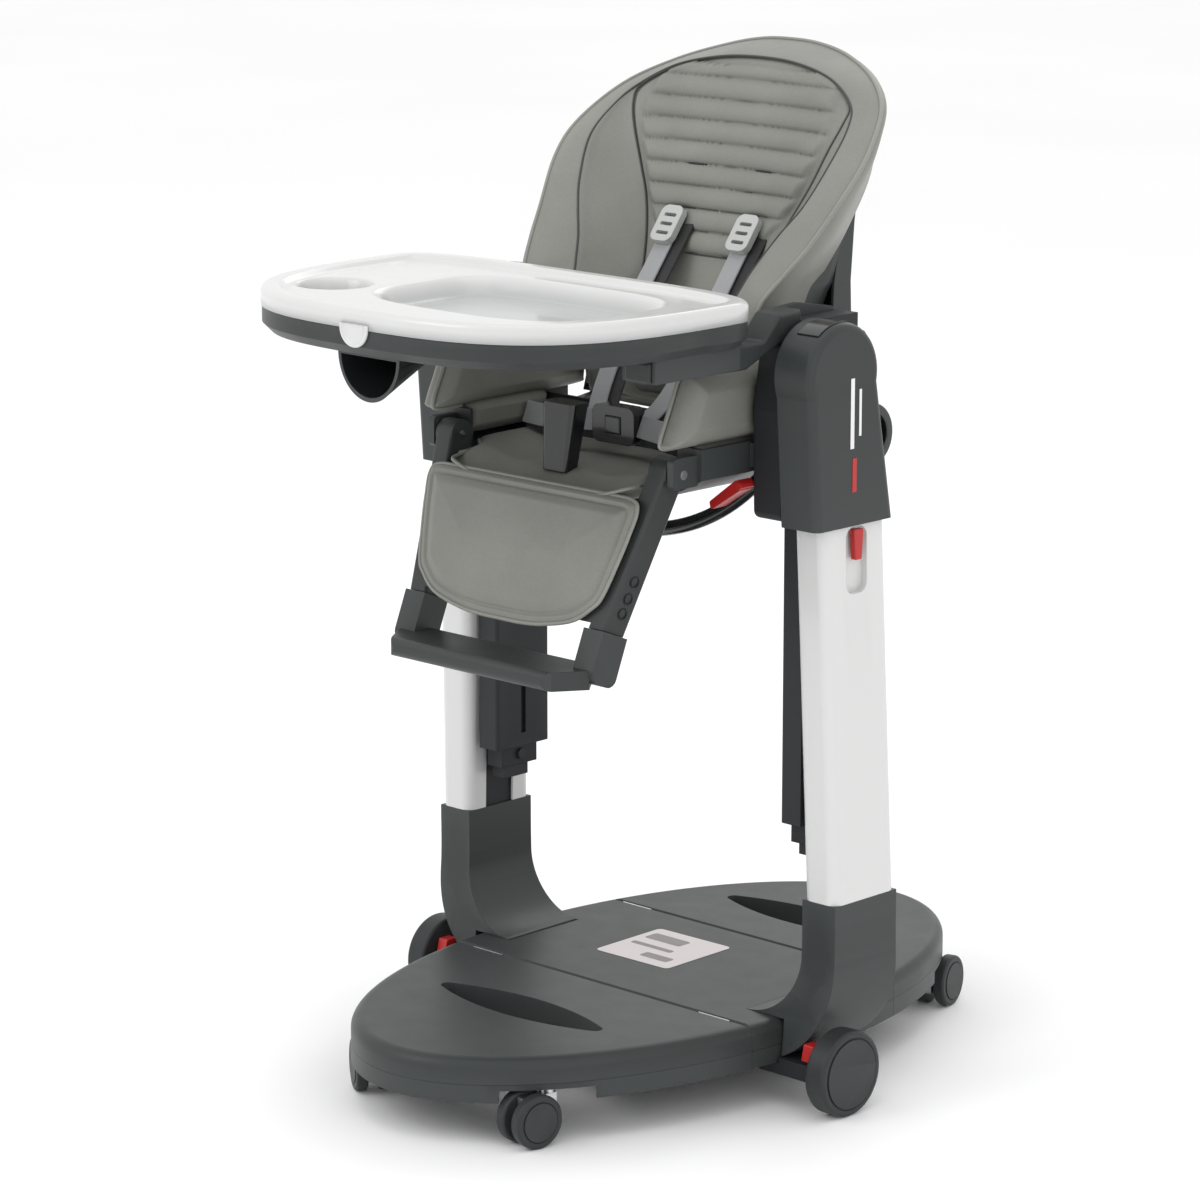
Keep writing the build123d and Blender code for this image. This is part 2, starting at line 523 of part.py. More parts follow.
def build_seat():
    """Seat pan, cross tube, lock lever, hinge pins, cushions, crotch post and waist harness."""
    front, rear = PAN_Y
    lug_x = (168.5, 177.0)
    with BuildPart() as pan:
        extrude(to_extrude=pan_section(rear, PAN_R, PAN_HALF, PAN_TOP), amount=rear - front)
        cavity = pan_section(rear - 4, PAN_R - 4, PAN_HALF - 4, PAN_TOP + 1)
        extrude(to_extrude=cavity, amount=rear - front - 8, mode=Mode.SUBTRACT)
        span_box((-150, 150), (front - 1, front + 5), (636, PAN_TOP + 1), Mode.SUBTRACT)
        span_box((-30, 30), (-138, front + 3), (630, 636.4))
        for side in (-1, 1):
            ends = sorted((side * (PAN_HALF - 1), side * CARRIAGE_X[0]))
            span_box(ends, (-40, 16), (673, 698))
            lug = sorted((side * lug_x[0], side * lug_x[1]))
            ear = side_face([(-147, 662), (front + 3, 662), (front + 3, 694), (-147, 694)], lug[0], 5)
            extrude(to_extrude=ear, amount=lug[1] - lug[0])
            rear_lug = sorted((side * 162, side * 170))
            span_box(rear_lug, (rear - 3, 54), (662, 690))
            cross_pin(lug, *LEG_PIVOT, HINGE_R, Mode.SUBTRACT)
            cross_pin(rear_lug, *BACK_PIVOT, HINGE_R, Mode.SUBTRACT)
    save(pan.part, "seat_shell")

    with BuildPart() as pins:
        for side in (-1, 1):
            cross_pin(sorted((side * 143, side * lug_x[1])), *LEG_PIVOT, HINGE_R)
            cross_pin(sorted((side * 149, side * 170)), *BACK_PIVOT, HINGE_R)
    save(pins.part, "seat_hinge_pins")

    with BuildPart() as tube:
        half_span = CARRIAGE_X[0] - 0.1
        end_z = TUBE_LOW + TUBE_ARC - sqrt(TUBE_ARC**2 - half_span**2)
        with BuildLine() as path:
            ThreePointArc((-half_span, TUBE_Y, end_z), (0, TUBE_Y, TUBE_LOW), (half_span, TUBE_Y, end_z))
        with BuildSketch(Plane(origin=path.line @ 0, z_dir=path.line % 0)):
            Circle(TUBE_R)
        sweep()
        span_box((-CARRIAGE_X[0] + 0.1, CARRIAGE_X[0] - 0.1), (TUBE_Y - 20, TUBE_Y + 20), (500, 720), Mode.INTERSECT)
    save(tube.part, "cross_tube")

    with BuildPart() as lever:
        with BuildSketch(Plane.XZ.offset(42)):
            with BuildLine():
                FilletPolyline((150, 626), (190, 652), (190, 662), (184, 662), (148, 635), radius=3, close=True)
            make_face()
        extrude(amount=20)
        with Locations((LEVER_PIVOT[0], -52, LEVER_PIVOT[1])):
            Cylinder(3.5, 24, rotation=(90, 0, 0))
    save(lever.part, "lock_lever")

    slot = ((-11.0, 11.0), (-136.0, -122.0))
    with BuildPart() as cushion:
        extrude(to_extrude=pan_section(rear - 4.4, PAN_R - 4.4, 148, 700, 700), amount=rear - front - 8.8)
        with BuildSketch(Plane.XZ.offset(-front - 5)):
            with Locations((0, 668)):
                Rectangle(266, 62)
            with Locations((0, 655 + 700)):
                Circle(700, mode=Mode.SUBTRACT)
        extrude(amount=43)
        fillet(cushion.edges().group_by(Axis.Y)[0].filter_by(Axis.X), 7)
        span_box((slot[0][0] - 0.5, slot[0][1] + 0.5), (slot[1][0] - 0.5, slot[1][1] + 0.5), (600, 700), Mode.SUBTRACT)
    save(cushion.part, "seat_cushion")

    with BuildPart() as side:
        outline = [(-150, 703), (14, 703), (14, 776), (-124, 776)]
        extrude(to_extrude=side_face(outline, 152, 14), amount=38)
        fillet(side.edges().group_by(Axis.X)[0], 8)
        fillet(side.edges().group_by(Axis.X)[-1], 8)
    save_pair(side.part, "side_cushion")

    with BuildPart() as post:
        span_box(slot[0], slot[1], (636.6, 660))
        with BuildSketch(Plane.XY.offset(658)) as base_section:
            with Locations((0, -129)):
                RectangleRounded(34, 20, 4)
        with BuildSketch(Plane.XY.offset(728)) as top_section:
            with Locations((0, -120)):
                RectangleRounded(46, 26, 6)
        loft([base_section.sketch.face(), top_section.sketch.face()])
    save(post.part, "crotch_post")

    with BuildPart() as buckle:
        span_box((-30, 30), (-50, -32), (674, 714))
        fillet(buckle.edges().filter_by(Axis.Y), 9)
        span_box((-11.4, 11.4), (-51, -44), (684.6, 703.4), Mode.SUBTRACT)
    save(buckle.part, "buckle")
    with BuildPart() as button:
        span_box((-11, 11), (-51.5, -46.5), (685, 703))
        fillet(button.edges().group_by(Axis.Y)[0], 1.5)
    save(button.part, "buckle_button")
    with BuildPart() as waist:
        for side in (-1, 1):
            span_box(sorted((side * 30.1, side * 151.8)), (-42.5, -39.5), (682, 707))
    save(waist.part, "waist_straps")


# ---- Back ----
def back_outline(y, inset):
    """Front view (X, Z) of the back: narrow at the hinge, widest at the shoulders, round on top."""
    with BuildSketch(Plane.XZ.offset(-y)) as outline:
        with BuildLine():
            points = [(138, 694), (168, 835), (206, 945), (182, 1021), (92, 1065), (0, 1077)]
            right = [(x - inset if x > inset else x, z if x > 90 or z < 1000 else z - inset) for x, z in points]
            Spline(*right, tangents=((0.1, 1), (-1, 0)))
            left = [(-x, z) for x, z in right]
            Spline(*reversed(left), tangents=((-1, 0), (0.1, -1)))
            Line(left[0], right[0])
        make_face()
    return outline.sketch


PANEL = [(46, 690), (76, 780), (105, 857), (137, 940), (168, 1030), (182, 1060)]
PAD_REAR = [(80, 694), (103, 770), (132, 857), (161, 940), (196, 1030), (226, 1078)]
SHELL_HALF_WIDTHS = [(170, 694), (170, 760), (150, 840), (140, 910), (118, 1000), (88, 1030)]  # half width, z


def shell_block(inset, front_step):
    """Block between the pad's rear and the curved rear of the back shell, shrunk by inset except in front."""
    with BuildPart() as block:
        with BuildSketch(RIGHT_SIDE.offset(-170)):
            with BuildLine():
                front = [(y + front_step, z) for y, z in PAD_REAR[:-1]]
                Spline(*front)
                rear = [(207, 1030), (200, 1000), (168, 900), (143, 800), (104, 694)]
                Polyline(front[-1], *[(y - inset, z) for y, z in rear], front[0])
            make_face()
        extrude(amount=340)
        low, high = SHELL_HALF_WIDTHS[0][1] + inset, SHELL_HALF_WIDTHS[-1][1] - inset
        right = [(x - inset, min(max(z, low), high)) for x, z in SHELL_HALF_WIDTHS]
        with BuildSketch(Plane.XZ.offset(-300)):
            with BuildLine():
                Polyline(*right, *[(-x, z) for x, z in reversed(right)], close=True)
            make_face()
        extrude(amount=400, mode=Mode.INTERSECT)
    return block.part


def build_back():
    """Bucket-shaped back pad on a dark back shell, with the shoulder harness and the recline handle."""
    with BuildPart() as pad:
        with BuildSketch(RIGHT_SIDE.offset(-240)):
            with BuildLine():
                Polyline(PAD_REAR[0], PANEL[0], (60, 735), (-6, 786), (-10, 835))
                Spline((-10, 835), (40, 896), (113, 983), (196, 1047), (226, 1078))
                Spline(*PAD_REAR)
            make_face()
        extrude(amount=480)
        extrude(to_extrude=back_outline(300, 0), amount=400, mode=Mode.INTERSECT)
        with BuildPart(mode=Mode.PRIVATE) as hollow:
            with BuildSketch(RIGHT_SIDE.offset(-240)):
                with BuildLine():
                    Spline(*PANEL)
                    Polyline(PANEL[-1], (-200, 1060), (-200, 690), PANEL[0])
                make_face()
            extrude(amount=480)
            extrude(to_extrude=back_outline(300, 42), amount=600, mode=Mode.INTERSECT)
        add(hollow.part, mode=Mode.SUBTRACT)
    save(pad.part, "back_pad")

    with BuildPart() as shell:
        add(shell_block(0, 0.6))
        add(shell_block(WALL, -1), mode=Mode.SUBTRACT)
        for side in (-1, 1):
            ear_x = sorted((side * BACK_EAR_X[0], side * BACK_EAR_X[1]))
            ear = side_face([(27, 660), (58, 658), (108, 690), (108, 712), (88, 712), (82, 693), (27, 686)], ear_x[0], 5)
            extrude(to_extrude=ear, amount=BACK_EAR_X[1] - BACK_EAR_X[0])
            cross_pin(ear_x, *BACK_PIVOT, HINGE_R + RUN, Mode.SUBTRACT)
    save(shell.part, "back_shell")

    with BuildPart() as handle:
        grip = [(180, 925), (192, 921), (216, 984), (204, 988)]
        extrude(to_extrude=side_face(grip, -45, 4), amount=90)
    save(handle.part, "recline_handle")

    strap_plane = slanted_plane(STRAP_TOP, STRAP_ANGLE)
    with BuildPart() as straps:
        with BuildSketch(strap_plane):
            with Locations((-STRAP_X, -STRAP_LENGTH / 2), (STRAP_X, -STRAP_LENGTH / 2)):
                Rectangle(STRAP_WIDTH, STRAP_LENGTH)
        extrude(amount=STRAP_T)
    save(straps.part, "shoulder_straps")
    with BuildPart() as adjusters:
        with BuildSketch(strap_plane.offset(STRAP_T)):
            with Locations((-STRAP_X, -24), (STRAP_X, -24)):
                RectangleRounded(30, 44, 9)
            for row in (-36, -25, -14):
                with Locations((-STRAP_X, row), (STRAP_X, row)):
                    SlotOverall(17, 4, mode=Mode.SUBTRACT)
        extrude(amount=8)
    save(adjusters.part, "strap_adjusters")


# ---- Leg rest ----
def build_leg_rest():
    """Swinging leg rest: side bars joined by a rear plate, a pad, and a footrest that slides on the bars."""
    leg_plane = slanted_plane(LEG_PIVOT, LEG_ANGLE)
    low_middle, bar_width = sum(LEG_BAR_X) / 2 - LEG_BAR_LEAN, LEG_BAR_X[1] - LEG_BAR_X[0]
    with BuildPart() as frame:
        with BuildSketch(leg_plane.offset(-LEG_BAR_HALF)):
            for side in (-1, 1):
                inner, outer = side * LEG_BAR_X[0], side * LEG_BAR_X[1]
                lean = side * LEG_BAR_LEAN
                with BuildLine():
                    Polyline(
                        (inner, 0),
                        (outer, 0),
                        (outer - lean, -LEG_SEAM),
                        (inner - lean, -LEG_SEAM),
                        close=True,
                    )
                make_face()
        extrude(amount=2 * LEG_BAR_HALF)
        along_bar = Axis((0, 0, 0), leg_plane.y_dir)
        fillet(frame.edges().filter_by(along_bar, tolerance=10), 4)
        for side in (-1, 1):
            ends = sorted((side * LEG_BAR_X[0], side * LEG_BAR_X[1]))
            cross_pin(ends, *LEG_PIVOT, LEG_BAR_HALF)
            cross_pin(ends, *LEG_PIVOT, HINGE_R + RUN, Mode.SUBTRACT)
        with BuildSketch(leg_plane.offset(-10)):
            tongue = LEG_TONGUE_END - LEG_SEAM + 4
            with Locations((-low_middle, -LEG_TONGUE_END + tongue / 2), (low_middle, -LEG_TONGUE_END + tongue / 2)):
                Rectangle(bar_width - 8, tongue)
        extrude(amount=20)
        with BuildSketch(leg_plane.offset(LEG_BAR_HALF - 6)):
            with Locations((0, -118)):
                Rectangle(2 * low_middle + 6, 96)
        extrude(amount=6)
    save(frame.part, "leg_frame")

    with BuildPart() as pad:
        with BuildSketch(leg_plane.offset(LEG_BAR_HALF)):
            with BuildLine():
                Polyline((-148, -42), (148, -42), (127, -178), (-127, -178), close=True)
            make_face()
            fillet(vertices().group_by(Axis.Y)[0], 44)
        extrude(amount=16)
        fillet(pad.faces().sort_by(Axis((0, 0, 0), leg_plane.z_dir))[-1].edges(), 8)
    save(pad.part, "leg_pad")

    with BuildPart() as footrest:
        with BuildSketch(leg_plane.offset(-LEG_BAR_HALF - 2)):
            for side in (-1, 1):
                with Locations((side * low_middle, -(LEG_SEAM + 0.6 + SLEEVE_END + 8) / 2)):
                    Rectangle(bar_width + 5, SLEEVE_END + 8 - LEG_SEAM - 0.6)
        extrude(amount=2 * LEG_BAR_HALF + 4)
        low_edges = footrest.edges().filter_by(Axis.X).sort_by(Axis.Z)[:4]
        fillet(low_edges, 11)
        with BuildSketch(Plane.XY.offset(FOOT_PLATE_Z[0])):
            with BuildLine():
                Polyline((-120, -206), (120, -206), (138, -228), (111, -268), (-111, -268), (-138, -228), close=True)
            make_face()
        extrude(amount=FOOT_PLATE_Z[1] - FOOT_PLATE_Z[0])
        fillet(footrest.edges().group_by(Axis.Y)[0], 8)
        with BuildSketch(leg_plane.offset(-10 - GAP)):
            for side in (-1, 1):
                with Locations((side * low_middle, -(LEG_SEAM + SLEEVE_END) / 2)):
                    Rectangle(bar_width - 8 + 2 * GAP, SLEEVE_END - LEG_SEAM)
        extrude(amount=20 + 2 * GAP, mode=Mode.SUBTRACT)
    save(footrest.part, "footrest")


# ---- Tray ----
def tray_outline(inset, height):
    """Outer tray outline, shrunk by inset."""
    return superellipse(TRAY_HALF_X, TRAY_FRONT, TRAY_REAR, TRAY_WIDEST_Y, inset, height)


def bowl_outline(grow, height):
    """Outline of the bowl in the lid, on the plane at a height."""
    bowl = superellipse(BOWL_HALF_X, -BOWL_HALF_Y, BOWL_HALF_Y, 0, -grow, 0)
    return bowl.moved(Location((BOWL_X, BOWL_Y, height)))


def grip_section(y, half_x, depth, top):
    """Half ellipse that hangs below a height under the tray base, at one Y."""
    with BuildSketch(Plane.XZ.offset(-y)) as section:
        with Locations((0, top)):
            Ellipse(half_x, depth)
        with Locations((0, top + depth)):
            Rectangle(3 * half_x, 2 * depth, mode=Mode.SUBTRACT)
    return section.sketch.face()


def build_tray():
    """Dark tray base with arm guides, white lift-off lid with bowl and cup recess, and the release grip."""
    with BuildPart() as base:
        loft([tray_outline(9, TRAY_BOTTOM).face(), tray_outline(1, TRAY_BOTTOM + 9).face()])
        extrude(to_extrude=tray_outline(1, TRAY_BOTTOM + 9), amount=TRAY_SPLIT - TRAY_BOTTOM - 9)
        extrude(to_extrude=tray_outline(8, TRAY_BOTTOM + 9), amount=TRAY_SPLIT, mode=Mode.SUBTRACT)
        for side in (-1, 1):
            for wall in (ARM_X[0] - 5, ARM_X[1] + 1):
                span_box(sorted((side * wall, side * (wall + 4))), (-236, -112), (TRAY_BOTTOM - 24, TRAY_BOTTOM + 2))
    save(base.part, "tray_base")

    with BuildPart() as lid:
        rim_bottom = TRAY_SPLIT + 0.2
        extrude(to_extrude=tray_outline(0, rim_bottom), amount=TRAY_TOP - 6 - rim_bottom)
        loft([tray_outline(0, TRAY_TOP - 6).face(), tray_outline(5, TRAY_TOP).face()])
        extrude(to_extrude=tray_outline(11, CUP_FLOOR - 4), amount=rim_bottom - CUP_FLOOR + 5)
        extrude(to_extrude=tray_outline(15, CUP_FLOOR - 5), amount=TRAY_TOP - WALL - CUP_FLOOR + 5, mode=Mode.SUBTRACT)
        extrude(to_extrude=bowl_outline(WALL, CUP_FLOOR - 4), amount=TRAY_TOP - WALL - CUP_FLOOR + 5)
        with BuildSketch(Plane.XY.offset(CUP_FLOOR - 4)):
            with Locations((CUP_X, CUP_Y)):
                Circle(CUP_R + WALL)
        extrude(amount=TRAY_TOP - WALL - CUP_FLOOR + 5)
        extrude(to_extrude=bowl_outline(0, BOWL_FLOOR), amount=60, mode=Mode.SUBTRACT)
        with BuildSketch(Plane.XY.offset(CUP_FLOOR)):
            with Locations((CUP_X, CUP_Y)):
                Circle(CUP_R)
        extrude(amount=60, mode=Mode.SUBTRACT)
        badge_back = TRAY_FRONT - 0.9
        with BuildSketch(Plane.XZ.offset(-badge_back)):
            with Locations((0, TRAY_SPLIT + 2)):
                Circle(20)
            with Locations((0, TRAY_SPLIT + 42)):
                Rectangle(60, 80, mode=Mode.SUBTRACT)
        extrude(amount=2)
        span_box((-16, 16), (badge_back - 2, badge_back + 10), (rim_bottom + 0.2, rim_bottom + 4))
    save(lid.part, "tray_lid")

    with BuildPart() as grip:
        top, wall = TRAY_BOTTOM - 1, 4
        loft([grip_section(-398, 44, 48, top), grip_section(-330, 27, 15, top)])
        loft(
            [grip_section(-399, 44 - wall, 45 - wall, top - 3), grip_section(-334, 23, 8, top - 3)],
            mode=Mode.SUBTRACT,
        )
    save(grip.part, "tray_grip")


def main():
    os.makedirs("parts", exist_ok=True)
    build_base()
    build_casters()
    build_side_wheels()
    build_feet()
    build_columns()
    build_caps()
    build_carriages()
    build_seat()
    build_back()
    build_leg_rest()
    build_tray()


main()
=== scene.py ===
"""Looks for the baby high chair: materials, padded seat goods, harness, tray and small trim.

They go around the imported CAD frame. Metres: +Z is up, the child faces -Y, and +X is to the right
as seen from the front.
"""

import json
from math import cos, pi, radians, sin

import bmesh
import bpy
import numpy as np
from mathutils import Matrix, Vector


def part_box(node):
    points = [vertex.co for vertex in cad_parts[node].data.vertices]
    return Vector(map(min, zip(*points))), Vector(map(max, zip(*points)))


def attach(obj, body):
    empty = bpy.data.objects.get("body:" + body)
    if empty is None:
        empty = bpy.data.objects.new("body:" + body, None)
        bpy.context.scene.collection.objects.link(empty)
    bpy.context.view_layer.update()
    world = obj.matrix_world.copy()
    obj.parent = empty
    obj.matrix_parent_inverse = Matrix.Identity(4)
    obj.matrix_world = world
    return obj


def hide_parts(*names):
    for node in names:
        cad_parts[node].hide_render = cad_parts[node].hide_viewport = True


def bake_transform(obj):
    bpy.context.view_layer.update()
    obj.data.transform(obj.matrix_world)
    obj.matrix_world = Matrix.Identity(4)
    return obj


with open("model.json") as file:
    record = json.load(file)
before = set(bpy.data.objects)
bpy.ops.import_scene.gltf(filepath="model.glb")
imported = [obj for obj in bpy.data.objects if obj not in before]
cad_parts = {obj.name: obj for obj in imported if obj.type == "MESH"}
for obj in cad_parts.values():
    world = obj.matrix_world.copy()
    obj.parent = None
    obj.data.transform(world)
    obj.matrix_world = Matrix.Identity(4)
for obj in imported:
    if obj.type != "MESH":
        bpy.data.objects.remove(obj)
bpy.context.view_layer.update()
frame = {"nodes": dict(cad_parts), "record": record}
NODES = frame["nodes"]
SIDES = (("left", -1), ("right", 1))


# ---- Small curve and mesh helpers ----
def smooth(points, samples, closed=False):
    """Catmull-Rom curve through the points, sampled evenly along its length."""
    points = np.asarray(points, float)
    if closed:
        padded = np.vstack([points[-1], points, points[0], points[1]])
    else:
        padded = np.vstack([2 * points[0] - points[1], points, 2 * points[-1] - points[-2]])
    dense = []
    for a, b, c, d in zip(padded[:-3], padded[1:-2], padded[2:-1], padded[3:]):
        t = np.linspace(0, 1, 24, endpoint=False)[:, None]
        square, cube = 2 * a - 5 * b + 4 * c - d, 3 * b - a - 3 * c + d
        dense.append(0.5 * (2 * b + (c - a) * t + square * t**2 + cube * t**3))
    dense = np.vstack(dense + [padded[-2][None, :]])
    return even(dense, samples, closed)


def even(points, samples, closed=False):
    """The same line with evenly spaced points."""
    points = np.asarray(points, float)
    run = np.r_[0, np.cumsum(np.linalg.norm(np.diff(points, axis=0), axis=1))]
    at = np.linspace(0, run[-1], samples, endpoint=not closed)
    return np.column_stack([np.interp(at, run, points[:, k]) for k in range(points.shape[1])])


def mirrored(half):
    """Closed loop from its right half, which runs from the bottom centre to the top centre."""
    half = np.asarray(half, float)
    left = half[1:-1][::-1] * np.array([-1] + [1] * (half.shape[1] - 1))
    return np.vstack([half, left])


def by_angle(loop, centre, count):
    """Points of a closed (x, y, z) loop at evenly spaced angles about a centre (x, z) in the front view."""
    turn = np.unwrap(np.arctan2(loop[:, 2] - centre[1], loop[:, 0] - centre[0]))
    order = np.argsort(turn)
    turn, loop = turn[order], loop[order]
    turn = np.r_[turn - 2 * pi, turn, turn + 2 * pi]
    loop = np.vstack([loop, loop, loop])
    angles = np.linspace(-pi, pi, count, endpoint=False)
    return np.column_stack([np.interp(angles, turn, loop[:, k]) for k in range(3)])


def ease(value):
    """Smooth step of a value from 0 to 1."""
    value = np.clip(value, 0, 1)
    return value * value * (3 - 2 * value)


def make_mesh(name, vertices, faces, material, body, shade=True, uvs=None):
    """Piece from points and faces, which rides a body if one is named."""
    mesh = bpy.data.meshes.new(name)
    mesh.from_pydata([tuple(v) for v in vertices], [], faces)
    mesh.validate()
    if uvs is not None:
        layer = mesh.uv_layers.new(name="UVMap")
        for loop in mesh.loops:
            layer.data[loop.index].uv = uvs[loop.vertex_index]
    mesh.materials.append(material)
    if shade:
        mesh.shade_smooth()
    piece = bpy.data.objects.new(name, mesh)
    bpy.context.scene.collection.objects.link(piece)
    if body:
        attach(piece, body)
    return piece


def ring_faces(rings, count):
    """Quads between consecutive closed rings."""
    faces = []
    for r in range(rings - 1):
        for i in range(count):
            j = (i + 1) % count
            faces.append((r * count + i, r * count + j, (r + 1) * count + j, (r + 1) * count + i))
    return faces


def closed_form(name, rings, material, body, open_front=False):
    """Mesh through a list of rings of (count, 3) points, closed by fans unless the first ring stays open."""
    count = len(rings[0])
    vertices = np.vstack(rings + [rings[0].mean(0), rings[-1].mean(0)])
    faces = ring_faces(len(rings), count)
    first, last = len(vertices) - 2, len(vertices) - 1
    base = (len(rings) - 1) * count
    for i in range(count):
        j = (i + 1) % count
        if not open_front:
            faces.append((first, j, i))
        faces.append((last, base + i, base + j))
    piece = make_mesh(name, vertices, faces, material, body)
    fix_normals(piece)
    return piece


def fix_normals(piece):
    """Turns every face of a piece outward."""
    work = bmesh.new()
    work.from_mesh(piece.data)
    bmesh.ops.recalc_face_normals(work, faces=work.faces)
    work.to_mesh(piece.data)
    work.free()


def distance_to(loop, points):
    """Distance from each 2D point to a closed 2D loop."""
    best = np.full(len(points), 1e9)
    for a, b in zip(loop, np.roll(loop, -1, axis=0)):
        d = b - a
        t = np.clip(((points - a) @ d) / max(d @ d, 1e-12), 0, 1)
        best = np.minimum(best, np.linalg.norm(points - a - t[:, None] * d, axis=1))
    return best


def cushion(name, outline, centre, place, front, back, material, body, rings=46):
    """Crowned closed pad over a star-shaped 2D outline.

    front and back give the heights of its two faces from (a, b, distance to the edge), and place puts
    (a, b, height) into the world.
    """
    steps = 1 - np.linspace(0, 1, rings) ** 1.4
    steps[-1] = steps[-2] / 2
    centre = np.asarray(centre, float)
    all_rings = []
    flat = [centre + s * (outline - centre) for s in steps]
    heights = [distance_to(outline, p) for p in flat]
    for p, d in list(zip(flat, heights))[::-1]:
        all_rings.append(place(p[:, 0], p[:, 1], back(p[:, 0], p[:, 1], d)))
    for p, d in list(zip(flat, heights))[1:]:
        all_rings.append(place(p[:, 0], p[:, 1], front(p[:, 0], p[:, 1], d)))
    return closed_form(name, all_rings, material, body)


def tube(name, points, radius, material, body, closed=False, sides=10):
    """Round cord such as piping, along a line of points."""
    points = np.asarray(points, float)
    count = len(points)
    if closed:
        forward = np.roll(points, -1, axis=0) - np.roll(points, 1, axis=0)
    else:
        forward = np.gradient(points, axis=0)
    forward /= np.linalg.norm(forward, axis=1)[:, None] + 1e-12
    normal = np.cross(forward[0], (0.31, 0.23, 0.92))
    vertices = []
    for p, f in zip(points, forward):
        normal = normal - f * (normal @ f)
        normal /= np.linalg.norm(normal)
        across = np.cross(f, normal)
        for k in range(sides):
            a = 2 * pi * k / sides
            vertices.append(p + radius * (cos(a) * normal + sin(a) * across))
    faces = ring_faces(count, sides)
    if closed:
        start = (count - 1) * sides
        shift = int(np.argmin([np.linalg.norm(vertices[start] - vertices[k]) for k in range(sides)]))
        for k in range(sides):
            n = (k + 1) % sides
            faces.append((start + k, start + n, (n + shift) % sides, (k + shift) % sides))
    else:
        faces.append(tuple(range(sides)))
        faces.append(tuple((count - 1) * sides + k for k in range(sides))[::-1])
    piece = make_mesh(name, vertices, faces, material, body)
    fix_normals(piece)
    return piece


def webbing(name, points, facing, width, thick, material, body):
    """Flat strap along a line of points; facing is where its face looks, for each point or for all."""
    points = np.asarray(points, float)
    facing = np.broadcast_to(np.asarray(facing, float), points.shape)
    forward = np.gradient(points, axis=0)
    forward /= np.linalg.norm(forward, axis=1)[:, None]
    run = np.r_[0, np.cumsum(np.linalg.norm(np.diff(points, axis=0), axis=1))]
    corner = [(-1, -0.3), (-0.94, -1), (0.94, -1), (1, -0.3), (1, 0.3), (0.94, 1), (-0.94, 1), (-1, 0.3)]
    vertices, uvs = [], []
    for p, f, n, along in zip(points, forward, facing, run):
        across = np.cross(f, n)
        across /= np.linalg.norm(across)
        up = np.cross(across, f)
        for a, b in corner:
            vertices.append(p + a * across * width / 2 + b * up * thick / 2)
            uvs.append(((a + 1) / 2 * width, along))
    sides = len(corner)
    faces = ring_faces(len(points), sides)
    faces.append(tuple(range(sides)))
    faces.append(tuple((len(points) - 1) * sides + k for k in range(sides))[::-1])
    piece = make_mesh(name, vertices, faces, material, body, shade=False, uvs=uvs)
    fix_normals(piece)
    return piece


# ---- Sizes that looks and shapes share ----
TRAY_HALF_X, TRAY_FRONT, TRAY_REAR, TRAY_WIDEST_Y = 0.250, -0.416, -0.076, -0.150
BOWL_X, BOWL_Y, BOWL_HALF_X, BOWL_HALF_Y, BOWL_FLOOR = 0.038, -0.232, 0.150, 0.104, 0.834
CUP_X, CUP_Y, CUP_R = -0.163, -0.292, 0.040
LID_SHOULDER = 0.8505  # where the lid's rim starts to round over


# ---- Materials ----
GRAIN_SCALE = 2200.0  # moulded grain, per metre


